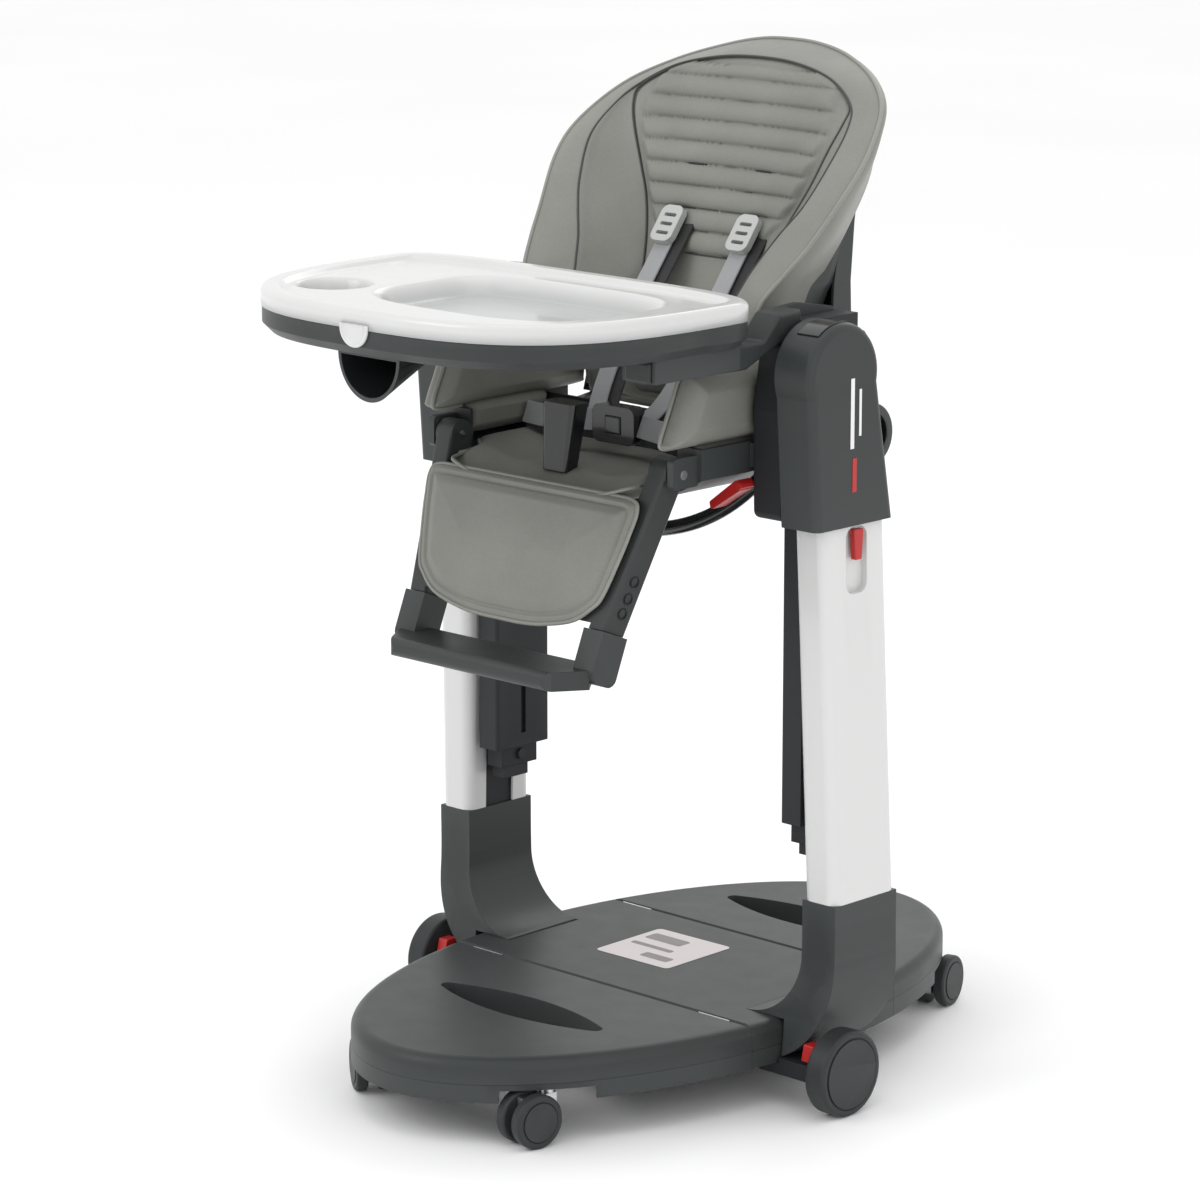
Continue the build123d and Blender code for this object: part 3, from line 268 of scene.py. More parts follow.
class Maker:
    """One node material under construction."""

    def __init__(self, name):
        self.material = bpy.data.materials.new(name)
        self.material.use_nodes = True
        self.tree = self.material.node_tree
        self.shader = self.tree.nodes["Principled BSDF"]
        self.place = self.node("ShaderNodeTexCoord").outputs["Object"]

    def node(self, kind, **values):
        node = self.tree.nodes.new(kind)
        for key, value in values.items():
            if hasattr(node, key):
                setattr(node, key, value)
            else:
                node.inputs[key.replace("_", " ")].default_value = value
        return node

    def link(self, a, b):
        self.tree.links.new(a, b)

    def noise(self, scale, detail, stretch=None):
        noise = self.node("ShaderNodeTexNoise", Scale=scale, Detail=detail)
        source = self.place
        if stretch:
            mapping = self.node("ShaderNodeMapping")
            mapping.inputs["Scale"].default_value = stretch
            self.link(source, mapping.inputs["Vector"])
            source = mapping.outputs["Vector"]
        self.link(source, noise.inputs["Vector"])
        return noise.outputs["Fac"]

    def ramp(self, value, low, high, start=0.35, end=0.65):
        ramp = self.node("ShaderNodeValToRGB")
        ramp.color_ramp.elements[0].position = start
        ramp.color_ramp.elements[1].position = end
        ramp.color_ramp.elements[0].color = (*low, 1)
        ramp.color_ramp.elements[1].color = (*high, 1)
        self.link(value, ramp.inputs["Fac"])
        return ramp.outputs["Color"]

    def range(self, value, low, high):
        spread = self.node("ShaderNodeMapRange")
        spread.inputs["To Min"].default_value = low
        spread.inputs["To Max"].default_value = high
        self.link(value, spread.inputs["Value"])
        return spread.outputs["Result"]

    def mix(self, factor, a, b, kind="MIX"):
        mix = self.node("ShaderNodeMix", data_type="RGBA", blend_type=kind)
        for value, socket in ((factor, 0), (a, 6), (b, 7)):
            if isinstance(value, (float, int)):
                mix.inputs[socket].default_value = value
            elif isinstance(value, tuple):
                mix.inputs[socket].default_value = (*value, 1)
            else:
                self.link(value, mix.inputs[socket])
        return mix.outputs[2]

    def bump(self, height, distance, strength=1.0, normal=None):
        bump = self.node("ShaderNodeBump", Distance=distance, Strength=strength)
        self.link(height, bump.inputs["Height"])
        if normal is not None:
            self.link(normal, bump.inputs["Normal"])
        return bump.outputs["Normal"]

    def rounded(self, radius):
        bevel = self.node("ShaderNodeBevel", samples=4)
        bevel.inputs["Radius"].default_value = radius
        return bevel.outputs["Normal"]

    def finish(self, color, roughness, normal, **fixed):
        self.link(color, self.shader.inputs["Base Color"])
        self.link(roughness, self.shader.inputs["Roughness"])
        self.link(normal, self.shader.inputs["Normal"])
        for key, value in fixed.items():
            self.shader.inputs[key.replace("_", " ")].default_value = value
        return self.material


def plastic(name, color, rough, grain=0.00004, spread=0.06, wear=0.25, **fixed):
    """Moulded plastic: fine spark-eroded grain, faint flow marks, and edges slightly paler from handling."""
    m = Maker(name)
    dark = tuple(c * (1 - spread) for c in color)
    light = tuple(min(1, c * (1 + spread)) for c in color)
    tone = m.ramp(m.noise(9, 4), dark, light)
    worn = tuple(min(1, c * (1 + wear) + 0.012 * wear) for c in color)
    edges = m.node("ShaderNodeNewGeometry").outputs["Pointiness"]
    ramp = m.node("ShaderNodeValToRGB")
    ramp.color_ramp.elements[0].position = 0.52
    ramp.color_ramp.elements[1].position = 0.60
    m.link(edges, ramp.inputs["Fac"])
    tone = m.mix(ramp.outputs["Color"], tone, worn)
    roughness = m.range(m.noise(35, 5), rough - 0.05, rough + 0.06)
    normal = m.bump(m.noise(GRAIN_SCALE, 2), grain, 0.6, m.rounded(0.0012))
    normal = m.bump(m.noise(14, 2), 0.0006, 0.12, normal)
    return m.finish(tone, roughness, normal, **fixed)


def tray_plastic(name, rim, bowl):
    """Glossy white lid that greys with depth below its shoulder, darkest on the bowl and cup floors and
    underneath: painted shade.
    """
    m = Maker(name)
    height = m.node("ShaderNodeSeparateXYZ")
    m.link(m.place, height.inputs["Vector"])
    depth = m.node("ShaderNodeMapRange")
    depth.inputs["From Min"].default_value = BOWL_FLOOR + 0.0005
    depth.inputs["From Max"].default_value = LID_SHOULDER
    m.link(height.outputs["Z"], depth.inputs["Value"])
    # Painted shade: the lid greys toward the second colour the lower its surface lies below the shoulder.
    tone = m.ramp(depth.outputs["Result"], bowl, rim, 0.1, 0.9)
    flow = m.ramp(m.noise(9, 4), (0.97, 0.97, 0.97), (1.0, 1.0, 1.0))
    tone = m.mix(1.0, tone, flow, "MULTIPLY")
    roughness = m.range(m.noise(35, 5), 0.18, 0.28)
    normal = m.bump(m.noise(GRAIN_SCALE, 2), 0.00001, 0.6, m.rounded(0.001))
    return m.finish(tone, roughness, normal, Coat_Weight=0.25)


def leatherette(name, color, grain=0.00022):
    """Synthetic leather: pebbled grain over soft unevenness, with painted shade (ambient occlusion) darkening
    the seams and channels.
    """
    m = Maker(name)
    pebbles = m.node("ShaderNodeTexVoronoi", Scale=640.0, feature="SMOOTH_F1")
    m.link(m.place, pebbles.inputs["Vector"])
    dark = tuple(c * 0.90 for c in color)
    light = tuple(c * 1.07 for c in color)
    tone = m.ramp(m.noise(7, 5), dark, light)
    fleck = m.ramp(m.noise(420, 3), (0.90, 0.90, 0.90), (1.0, 1.0, 1.0))
    tone = m.mix(0.6, tone, fleck, "MULTIPLY")
    # Painted shade: ambient occlusion darkens the seams, channels and creases.
    painted_shade_ao = m.node("ShaderNodeAmbientOcclusion", samples=6, Distance=0.010)
    shade = m.ramp(painted_shade_ao.outputs["AO"], (0.42, 0.42, 0.40), (1.0, 1.0, 1.0), 0.30, 0.86)
    tone = m.mix(1.0, tone, shade, "MULTIPLY")
    roughness = m.range(m.noise(60, 4), 0.40, 0.54)
    normal = m.bump(pebbles.outputs["Distance"], grain, 0.5)
    normal = m.bump(m.noise(900, 3), 0.00008, 0.5, normal)
    normal = m.bump(m.noise(26, 3), 0.0014, 0.16, normal)
    return m.finish(tone, roughness, normal, Specular_IOR_Level=0.32, Sheen_Weight=0.08, Sheen_Roughness=0.5)


def ribbed_webbing(name, color):
    """Woven strap: fine ribs across and a twill along, from the strap's own length and width."""
    m = Maker(name)
    place = m.node("ShaderNodeTexCoord").outputs["UV"]
    ribs = m.node("ShaderNodeTexWave", Scale=290.0, Distortion=0.6, bands_direction="Y")
    m.link(place, ribs.inputs["Vector"])
    warp = m.node("ShaderNodeTexWave", Scale=190.0, Distortion=0.8, bands_direction="X")
    m.link(place, warp.inputs["Vector"])
    weave = m.mix(0.5, ribs.outputs["Color"], warp.outputs["Color"], "MULTIPLY")
    dark = tuple(c * 0.62 for c in color)
    tone = m.ramp(weave, dark, color, 0.1, 0.7)
    roughness = m.range(m.noise(80, 4), 0.62, 0.8)
    normal = m.bump(weave, 0.0004, 0.7)
    return m.finish(tone, roughness, normal, Sheen_Weight=0.25)


def steel(name):
    """Brushed plated steel with fine drawn lines."""
    m = Maker(name)
    lines = m.noise(60, 4, stretch=(1, 1, 40))
    tone = m.ramp(lines, (0.52, 0.53, 0.54), (0.72, 0.72, 0.71))
    roughness = m.range(m.noise(50, 4), 0.22, 0.36)
    normal = m.bump(lines, 0.00005, 0.5, m.rounded(0.0008))
    return m.finish(tone, roughness, normal, Metallic=1.0)


def printed(name, base, ink, rough=0.4):
    """Label stock with a faint printed tint."""
    m = Maker(name)
    tone = m.ramp(m.noise(40, 2), base, tuple(0.94 * b + 0.06 * i for b, i in zip(base, ink)))
    roughness = m.range(m.noise(90, 3), rough - 0.05, rough + 0.05)
    normal = m.bump(m.noise(300, 2), 0.00003, 0.4)
    return m.finish(tone, roughness, normal)


CHARCOAL = plastic("charcoal_plastic", (0.034, 0.038, 0.038), 0.42, Specular_IOR_Level=0.32)
RAIL = plastic("rail_plastic", (0.014, 0.015, 0.017), 0.50, Specular_IOR_Level=0.3)
WHEEL = plastic("wheel_plastic", (0.026, 0.029, 0.030), 0.46, 0.00008, wear=0.6, Specular_IOR_Level=0.32)
RED = plastic("red_plastic", (0.42, 0.014, 0.013), 0.30, wear=0.1)
WHITE = plastic("white_plastic", (0.64, 0.64, 0.638), 0.24, 0.00001, 0.02, 0.03, Coat_Weight=0.25)
BLACK = plastic("black_gloss", (0.010, 0.011, 0.012), 0.16, 0.00001, wear=0.2, Coat_Weight=0.4)
# The second colour is painted shade for the tray's recesses, sides and underside.
TRAY_WHITE_WITH_SHADE = tray_plastic("tray_white_painted_shade", (0.64, 0.64, 0.635), (0.44, 0.455, 0.45))
GREY = plastic("grey_plastic", (0.40, 0.41, 0.40), 0.34, wear=0.15)
LEATHER = leatherette("leatherette", (0.228, 0.230, 0.207))
PIPING = leatherette("piping_leatherette", (0.27, 0.272, 0.245), 0.0001)
# Near-black cord colour: painted shade in the seam lines.
SEAM_SHADE = leatherette("seam_shadow", (0.060, 0.060, 0.055), 0.0001)
WEB = ribbed_webbing("webbing", (0.42, 0.43, 0.44))
# Near-black webbing for the strap slots and for the painted shadows beside the straps.
WEB_DARK_AND_SHADOW = ribbed_webbing("dark_webbing_and_painted_shadow", (0.012, 0.012, 0.013))
STEEL = steel("steel")
LABEL = printed("label_stock", (0.68, 0.63, 0.63), (0.6, 0.5, 0.5))
INK_DARK = printed("label_ink", (0.22, 0.20, 0.21), (0.1, 0.1, 0.1))
INK_WHITE = printed("white_print", (0.80, 0.80, 0.80), (0.6, 0.6, 0.6))

SLOTS = {
    "charcoal_plastic": CHARCOAL,
    "rail_plastic": RAIL,
    "wheel_plastic": WHEEL,
    "red_plastic": RED,
    "white_plastic": WHITE,
    "black_gloss": BLACK,
    "grey_plastic": GREY,
    "leatherette": LEATHER,
    "webbing": WEB,
    "steel": STEEL,
}


def finish_cad_nodes():
    """Gives every CAD node the material of its slot."""
    for entry in frame["record"]["subparts"]:
        node = NODES[entry["node"]]
        for slot in node.material_slots:
            slot.material = SLOTS[entry["material_slot"]]


# ---- Back pad ----
BACK_CENTRE = (0.0, 0.905)
RIB_PITCH, RIB_LOW, RIB_HIGH = 0.0225, 0.857, 1.050
# Right half of the pad's outer rim, of the seam inside the rim, and of the seam around the centre, each
# from the bottom centre up.
OUTER = [
    (0, 0.050, 0.695), (0.080, 0.052, 0.695), (0.138, 0.062, 0.697), (0.146, 0.056, 0.735),
    (0.157, 0.004, 0.778), (0.163, -0.010, 0.805), (0.170, -0.010, 0.835), (0.183, 0.013, 0.865),
    (0.195, 0.040, 0.896), (0.209, 0.079, 0.948), (0.207, 0.113, 0.983), (0.183, 0.160, 1.021),
    (0.139, 0.196, 1.047), (0.085, 0.219, 1.065), (0.040, 0.225, 1.074), (0, 0.226, 1.076),
]
SEAM = [
    (0, 0.051, 0.702), (0.060, 0.052, 0.702), (0.098, 0.056, 0.706), (0.104, 0.044, 0.745),
    (0.108, 0.010, 0.785), (0.111, 0.004, 0.815), (0.121, 0.019, 0.848), (0.131, 0.033, 0.873),
    (0.145, 0.047, 0.899), (0.161, 0.066, 0.928), (0.172, 0.094, 0.971), (0.166, 0.127, 1.003),
    (0.150, 0.149, 1.024), (0.110, 0.165, 1.046), (0.055, 0.174, 1.058), (0, 0.177, 1.061),
]
DEEP = [
    (0, 0.053, 0.708), (0.040, 0.054, 0.708), (0.070, 0.056, 0.712), (0.074, 0.062, 0.760),
    (0.079, 0.076, 0.821), (0.090, 0.095, 0.868), (0.106, 0.112, 0.908), (0.122, 0.121, 0.940),
    (0.140, 0.129, 0.980), (0.150, 0.138, 1.005), (0.1485, 0.149, 1.0225), (0.109, 0.1655, 1.0450),
    (0.0545, 0.1745, 1.0570), (0, 0.1775, 1.060),
]
# Heights, each with the depth of the backrest's middle, the thickness of the pad's side, or the depth of
# the rear shell's front.
CENTRE_LINE = (
    (0.690, 0.735, 0.780, 0.857, 0.954, 1.030, 1.062),
    (0.050, 0.058, 0.076, 0.103, 0.139, 0.166, 0.177),
)
SIDE_LINE = (
    (0.69, 0.735, 0.78, 0.835, 0.90, 0.95, 1.00, 1.05, 1.08),
    (0.025, 0.03, 0.06, 0.064, 0.05, 0.036, 0.022, 0.014, 0.010),
)
REAR_LINE = ((0.694, 0.770, 0.857, 0.940, 1.030, 1.077), (0.079, 0.102, 0.131, 0.160, 0.195, 0.223))


def centre_depth(z):
    """Depth of the middle of the backrest at a height."""
    return np.interp(z, *CENTRE_LINE)


def rib_lift(x, z):
    """How far the sewn channels of the head panel stand out."""
    phase = np.mod((z - RIB_LOW) / RIB_PITCH, 1.0)
    puff = np.sqrt(np.clip(1 - (2 * phase - 1) ** 2, 0, 1))
    half = np.interp(z, [0.857, 0.916, 1.000, 1.050], [0.068, 0.106, 0.140, 0.128])
    inside = ease((half - np.abs(x)) / 0.012) * ((z > RIB_LOW) & (z < RIB_HIGH))
    return 0.0062 * puff * inside


def side_depth(z):
    """Thickness of the pad's side at a height."""
    return np.interp(z, *SIDE_LINE)


def toward_middle(z, share):
    """Height moved toward the middle of the back, so that a share of its distance is left."""
    return BACK_CENTRE[1] + (z - BACK_CENTRE[1]) * share


def build_back_cover():
    """Closed cover: rear, side, rounded rim, wings, and the centre with its sewn channels."""
    count = 420
    loops = (smooth(mirrored(half), 900, True) for half in (OUTER, SEAM, DEEP))
    outer, seam, deep = (by_angle(loop, BACK_CENTRE, count) for loop in loops)
    rings = []
    rear = outer.copy()
    rear[:, 0] *= 0.945
    rear[:, 1] += side_depth(outer[:, 2])
    rear[:, 2] = toward_middle(rear[:, 2], 0.985)
    centre = np.array([0, 0.0, BACK_CENTRE[1]])
    for t in (0.1, 0.4, 0.7, 0.9):
        ring = centre + (rear - centre) * np.array([t, 1, t])
        ring[:, 1] = (1 - t) * (centre_depth(ring[:, 2]) + 0.012) + t * rear[:, 1]
        ring[:, 1] = np.maximum(ring[:, 1], centre_depth(ring[:, 2]) + 0.010)
        rings.append(ring)
    for t in np.linspace(0, 1, 9):
        ring = rear + (outer - rear) * t
        bulge = 0.004 * sin(pi * t)
        ring[:, 0] += np.sign(outer[:, 0]) * bulge * np.minimum(1, np.abs(outer[:, 0]) / 0.08)
        rings.append(ring)
    width = np.linalg.norm(outer - seam, axis=1)
    for t in np.linspace(0, 1, 15)[1:]:
        ring = outer + (seam - outer) * t
        ring[:, 1] -= np.minimum(0.11 * width, 0.0055) * sin(pi * t) ** 0.7
        rings.append(ring)
    wing = np.linalg.norm(seam - deep, axis=1)
    for t in np.linspace(0, 1, 22)[1:]:
        ring = seam + (deep - seam) * t
        ring[:, 1] += 0.10 * wing * sin(pi * t) - np.minimum(wing * 0.05, 0.002) * sin(pi * min(1, 8 * t))
        rings.append(ring)
    offset = deep[:, 1] - centre_depth(deep[:, 2])
    for t in np.linspace(1, 0.01, 92)[1:]:
        x, z = deep[:, 0] * t, toward_middle(deep[:, 2], t)
        pillow = 0.004 * ease((1 - t) * 9)
        tuck = 0.003 * (t > 0.985)
        y = centre_depth(z) + offset * t**3 - pillow - rib_lift(x, z) + tuck
        rings.append(np.column_stack([x, y, z]))
    cover = closed_form("back_cover", rings, LEATHER, "back")
    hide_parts("back_pad")
    pieces = (
        tube("back_piping", even(ordered(outer, 0.705), 420), 0.0024, PIPING, "back"),
        # The thin dark cords along the rim and deep seams are painted shade.
        tube("back_rim_seam_shade", even(ordered(seam, 0.72), 380), 0.0012, SEAM_SHADE, "back"),
        tube("back_deep_seam_shade", even(ordered(deep, 0.73), 320), 0.0010, SEAM_SHADE, "back"),
    )
    return outer


def ordered(loop, floor):
    """The part of a closed loop above a height, as one open line from its left foot to its right foot."""
    low = int(np.argmin(loop[:, 2]))
    turned = np.roll(loop, -low, axis=0)
    return turned[turned[:, 2] > floor]


def build_back_trim():
    """Strap slots, and dark cords of painted shade along the V-shaped stitch lines under the head panel."""
    slot_half, slot_x = 0.017, 0.052
    for name, z in (("high", 0.9470), ("low", 0.9020)):
        for side, sign in SIDES:
            y = float(centre_depth(z)) - 0.0045
            line = []
            for s in np.linspace(-slot_half, slot_half, 12):
                line.append((sign * slot_x + s, y - 0.0012 * sin(pi * (s + slot_half) / (2 * slot_half)), z))
            tube(f"strap_slot_{name}_{side}", line, 0.0021, WEB_DARK_AND_SHADOW, "back")
    # Dark cords along the stitch lines are painted shade.
    for side, sign in SIDES:
        line = []
        for t in np.linspace(0, 1, 24):
            x, z = 0.106 - 0.040 * t, 0.912 - 0.062 * t
            line.append((sign * x, float(centre_depth(z)) - 0.0040 - 0.004 * (1 - t), z))
        tube(f"panel_seam_shade_{side}", line, 0.0010, SEAM_SHADE, "back")
    line = [(x, float(centre_depth(0.856)) - 0.0042, 0.856) for x in np.linspace(-0.066, 0.066, 30)]
    tube("panel_seam_shade_low", line, 0.0012, SEAM_SHADE, "back")


def rear_line(z):
    """Depth of the pad's rear face at a height, just in front of the rear shell."""
    return np.interp(z, *REAR_LINE)


def build_bucket(outer):
    """Moulded bucket that holds the pad, from inside the pad's side back to the rear shell."""
    heights = outer[:, 2]
    narrowing = np.interp(heights, [0.69, 0.90, 0.95, 1.00, 1.05], [0.90, 0.88, 0.80, 0.72, 0.66])
    half_width = np.minimum(np.abs(outer[:, 0]) * narrowing, 0.152)
    start = outer[:, 1] + side_depth(heights) - 0.012
    lowered = toward_middle(heights, np.where(heights > BACK_CENTRE[1], 0.90, 0.985))
    inner = np.column_stack([np.sign(outer[:, 0]) * half_width, start, lowered])
    last = inner.copy()
    last[:, 0] *= 0.975
    last[:, 1] = np.maximum(rear_line(heights), inner[:, 1] + 0.004)
    rings = [inner + (last - inner) * t for t in np.linspace(0, 1, 10)]
    centre = np.array([0, 0, BACK_CENTRE[1]])
    for t in (0.8, 0.5, 0.2):
        ring = centre + (last - centre) * np.array([t, 1, t])
        ring[:, 1] = rear_line(ring[:, 2])
        rings.append(ring)
    bucket = closed_form("back_bucket", rings, CHARCOAL, "back", open_front=True)


# ---- Seat goods ----
def lying(a, b, h):
    """Pad that lies on its back: a and b are X and Y."""
    return np.column_stack([a, b, h])


def build_seat_pad():
    """Dished seat pad that rolls over the front edge, with piping along its front."""
    half = [
        (0, -0.1685), (0.090, -0.1680), (0.116, -0.1655), (0.1285, -0.1575), (0.1300, -0.143),
        (0.1300, -0.124), (0.138, -0.108), (0.147, -0.098), (0.149, -0.060), (0.149, -0.010),
        (0.144, 0.010), (0.120, 0.0165), (0, 0.0175),
    ]
    outline = smooth(mirrored(half), 320, True)

    def floor(a, b):
        arc = 1.0125 - np.sqrt(0.3856**2 - a**2)
        front = ease((-0.098 - b) / 0.006)
        return arc * (1 - front) + np.maximum(arc, 0.6375) * front

    def back(a, b, d):
        return floor(a, b) + 0.010 * (1 - ease(d / 0.012))

    def front(a, b, d):
        thighs = 0.007 * np.cos(np.clip(np.abs(np.abs(a) - 0.068) / 0.050, 0, 1) * pi / 2) ** 2
        dish = 0.661 + 0.55 * a**2 - thighs * 0.6
        roll = 0.018 * ease((-0.118 - b) / 0.046) ** 1.3
        edge = np.sqrt(np.clip(1 - (1 - np.clip(d / 0.012, 0, 1)) ** 2, 0, 1))
        low = floor(a, b) + 0.010
        return low + (dish - roll - low) * edge

    pad = cushion("seat_pad", outline, (0, -0.07), lying, front, back, LEATHER, "seat", 60)
    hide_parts("seat_cushion")
    edge = outline[outline[:, 1] < -0.100]
    edge = edge[np.argsort(edge[:, 0])]
    line = np.column_stack([edge[:, 0], edge[:, 1] - 0.0005, floor(edge[:, 0], edge[:, 1]) + 0.011])
    tube("seat_pad_piping", smooth(line[::6], 160), 0.0021, PIPING, "seat")


def build_bolsters():
    """Side pads with piping on the front edge, and the soft walls below them beside the seat pad."""
    for side, sign in SIDES:
        corner = [
            (-0.151, 0.704), (-0.110, 0.7025), (-0.050, 0.7022), (0.065, 0.7035), (0.074, 0.712),
            (0.0755, 0.742), (0.074, 0.768), (0.063, 0.7765), (-0.050, 0.7770), (-0.112, 0.7765),
            (-0.124, 0.772), (-0.140, 0.738), (-0.151, 0.714),
        ]
        outline = smooth(corner, 260, True)

        def place(a, b, h, sign=sign):
            return np.column_stack([sign * h, a, b])

        def outer(a, b, d):
            return 0.168 + 0.0225 * np.clip(d / 0.019, 0, 1) ** 0.42

        def inner(a, b, d):
            return 0.168 - 0.0165 * np.clip(d / 0.015, 0, 1) ** 0.45

        pad = cushion(f"bolster_{side}", outline, (-0.035, 0.740), place, outer, inner, LEATHER, "seat", 34)
        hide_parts(f"side_cushion_{side}")
        nose = [
            (-0.110, 0.7025), (-0.147, 0.7035), (-0.1525, 0.712),
            (-0.141, 0.738), (-0.126, 0.771), (-0.118, 0.7765),
        ]
        front = smooth(nose, 90)
        line = np.column_stack([np.full(len(front), sign * 0.164), front])
        tube(f"bolster_piping_{side}", line, 0.0024, PIPING, "seat")

        lower = [
            (-0.105, 0.673), (-0.04, 0.672), (0.008, 0.674), (0.012, 0.690),
            (0.008, 0.7055), (-0.05, 0.7070), (-0.102, 0.7055), (-0.106, 0.690),
        ]
        wall = cushion(
            f"seat_side_wall_{side}",
            smooth(lower, 160, True),
            (-0.047, 0.690),
            place,
            lambda a, b, d: 0.165 + 0.010 * np.clip(d / 0.010, 0, 1) ** 0.5,
            lambda a, b, d: 0.165 - 0.014 * np.clip(d / 0.010, 0, 1) ** 0.5,
            LEATHER,
            "seat",
            20,
        )


# ---- Leg rest pad ----
LEG_TOP = np.array([0.0, -0.131, 0.676])
LEG_DOWN = np.array([0.0, -0.3778, -0.9259])
LEG_OUT = np.array([0.0, -0.9259, 0.3778])
LEG_BAR_FRONT = 0.016  # out of the leg rest, where the pad's rear lies


def on_leg(x, down, out):
    """World place of a point given by x, distance down the leg rest and distance out of it."""
    x, down, out = np.broadcast_arrays(np.asarray(x, float), down, out)
    sideways = x[..., None] * np.array([1, 0, 0])
    return LEG_TOP + sideways + down[..., None] * LEG_DOWN + out[..., None] * LEG_OUT


def build_leg_pad():
    """Sewn pad in front of the leg bars, wider than they are, with a rounded foot."""
    half = [
        (0, -0.036), (0.100, -0.0360), (0.140, -0.0375), (0.1495, -0.048), (0.1470, -0.072), (0.1420, -0.099),
        (0.1325, -0.138), (0.1230, -0.152), (0.1000, -0.169), (0.0600, -0.179), (0.0300, -0.1818), (0, -0.182),
    ]
    outline = smooth(mirrored(half[::-1]), 360, True)
    rear = LEG_BAR_FRONT + 0.0006

    def level(b):
        return np.interp(-b, [0.040, 0.180], [0.029, 0.0225])

    def middle(b):
        return (rear + level(b)) / 2

    def front(a, b, d):
        edge = (level(b) - middle(b)) * np.clip(d / 0.006, 0, 1) ** 0.5
        border = 0.0016 * np.exp(-(((d - 0.010) / 0.0018) ** 2))
        crown = 0.006 * ease((d - 0.008) / 0.075) + 0.003 * ease((d - 0.010) / 0.012)
        return middle(b) + edge + crown - border

    def back(a, b, d):
        return middle(b) - (middle(b) - rear) * np.clip(d / 0.005, 0, 1) ** 0.5

    def place(a, b, h):
        return on_leg(a, -b, h)

    pad = cushion("leg_rest_pad", outline, (0, -0.108), place, front, back, LEATHER, "leg_rest", 70)
    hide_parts("leg_pad")
    rim = on_leg(outline[:, 0], -outline[:, 1], middle(outline[:, 1]) + 0.001)
    tube("leg_pad_piping", rim, 0.0022, PIPING, "leg_rest", closed=True)


# ---- Harness ----
STRAP_WIDE, STRAP_THICK = 0.0235, 0.0024
BELT_WIDE = 0.024


def build_harness():
    """Shoulder straps, which follow back and seat, each with a dark strip of painted shadow beside it, and the
    waist belt, whose dark second layer is a painted shadow below it.
    """
    strap_down = np.array([0, -0.6018, -0.7986])
    strap_face = np.array([0, -0.7986, 0.6018])
    for side, sign in SIDES:
        top = np.array([sign * 0.054, 0.1120, 0.9000]) + strap_face * 0.0015
        route = [
            top + strap_down * 0.002,
            top + strap_down * 0.050,
            top + strap_down * 0.130,
            (sign * 0.050, -0.004, 0.742),
            (sign * 0.044, -0.024, 0.716),
            (sign * 0.036, -0.037, 0.702),
        ]
        line = smooth(route, 80)
        strap = webbing(f"shoulder_strap_{side}", line, strap_face, STRAP_WIDE, STRAP_THICK, WEB, None)
        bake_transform(strap)
        # Painted shadow: a dark strip just behind and to the right of each shoulder strap.
        under = line + strap_face * -0.004 + np.array([0.014, 0, 0])
        painted_shadow = webbing(f"strap_painted_shadow_{side}", under, strap_face, STRAP_WIDE, STRAP_THICK, WEB_DARK_AND_SHADOW, None)
        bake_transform(painted_shadow)
        if sign > 0:
            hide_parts("shoulder_straps")
        # The dark second layer of the waist belt (k = 1) is a painted shadow just below and behind it.
        for k, material in enumerate((WEB, WEB_DARK_AND_SHADOW)):
            belt_route = [
                (sign * 0.031, -0.041, 0.695),
                (sign * 0.060, -0.044, 0.693 + 0.002 * k),
                (sign * 0.105, -0.040, 0.689),
                (sign * 0.148, -0.030, 0.6875),
            ]
            belt_line = smooth(belt_route, 50) + np.array([0, 0.004 * k, -0.010 * k])
            facing = (0, -0.94, 0.34)
            name = f"waist_strap_{side}_{k}"
            belt = webbing(name, belt_line, facing, BELT_WIDE, STRAP_THICK, material, "seat")
            if sign > 0 and k == 0:
                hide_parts("waist_straps")


# ---- Tray ----
def oval(half_x, front, rear, widest, count):
    """Superellipse, fuller at the rear, at evenly spaced angles of its own parameter."""
    points = []
    for k in range(count):
        a = 2 * pi * k / count
        across, along = cos(a), sin(a)
        power = 2 / 3.0 if along < 0 else 2 / 3.8
        depth = widest - front if along < 0 else rear - widest
        x = half_x * abs(across) ** power * (1 if across > 0 else -1)
        y = widest + depth * abs(along) ** power * (1 if along > 0 else -1)
        points.append((x, y))
    return np.array(points)


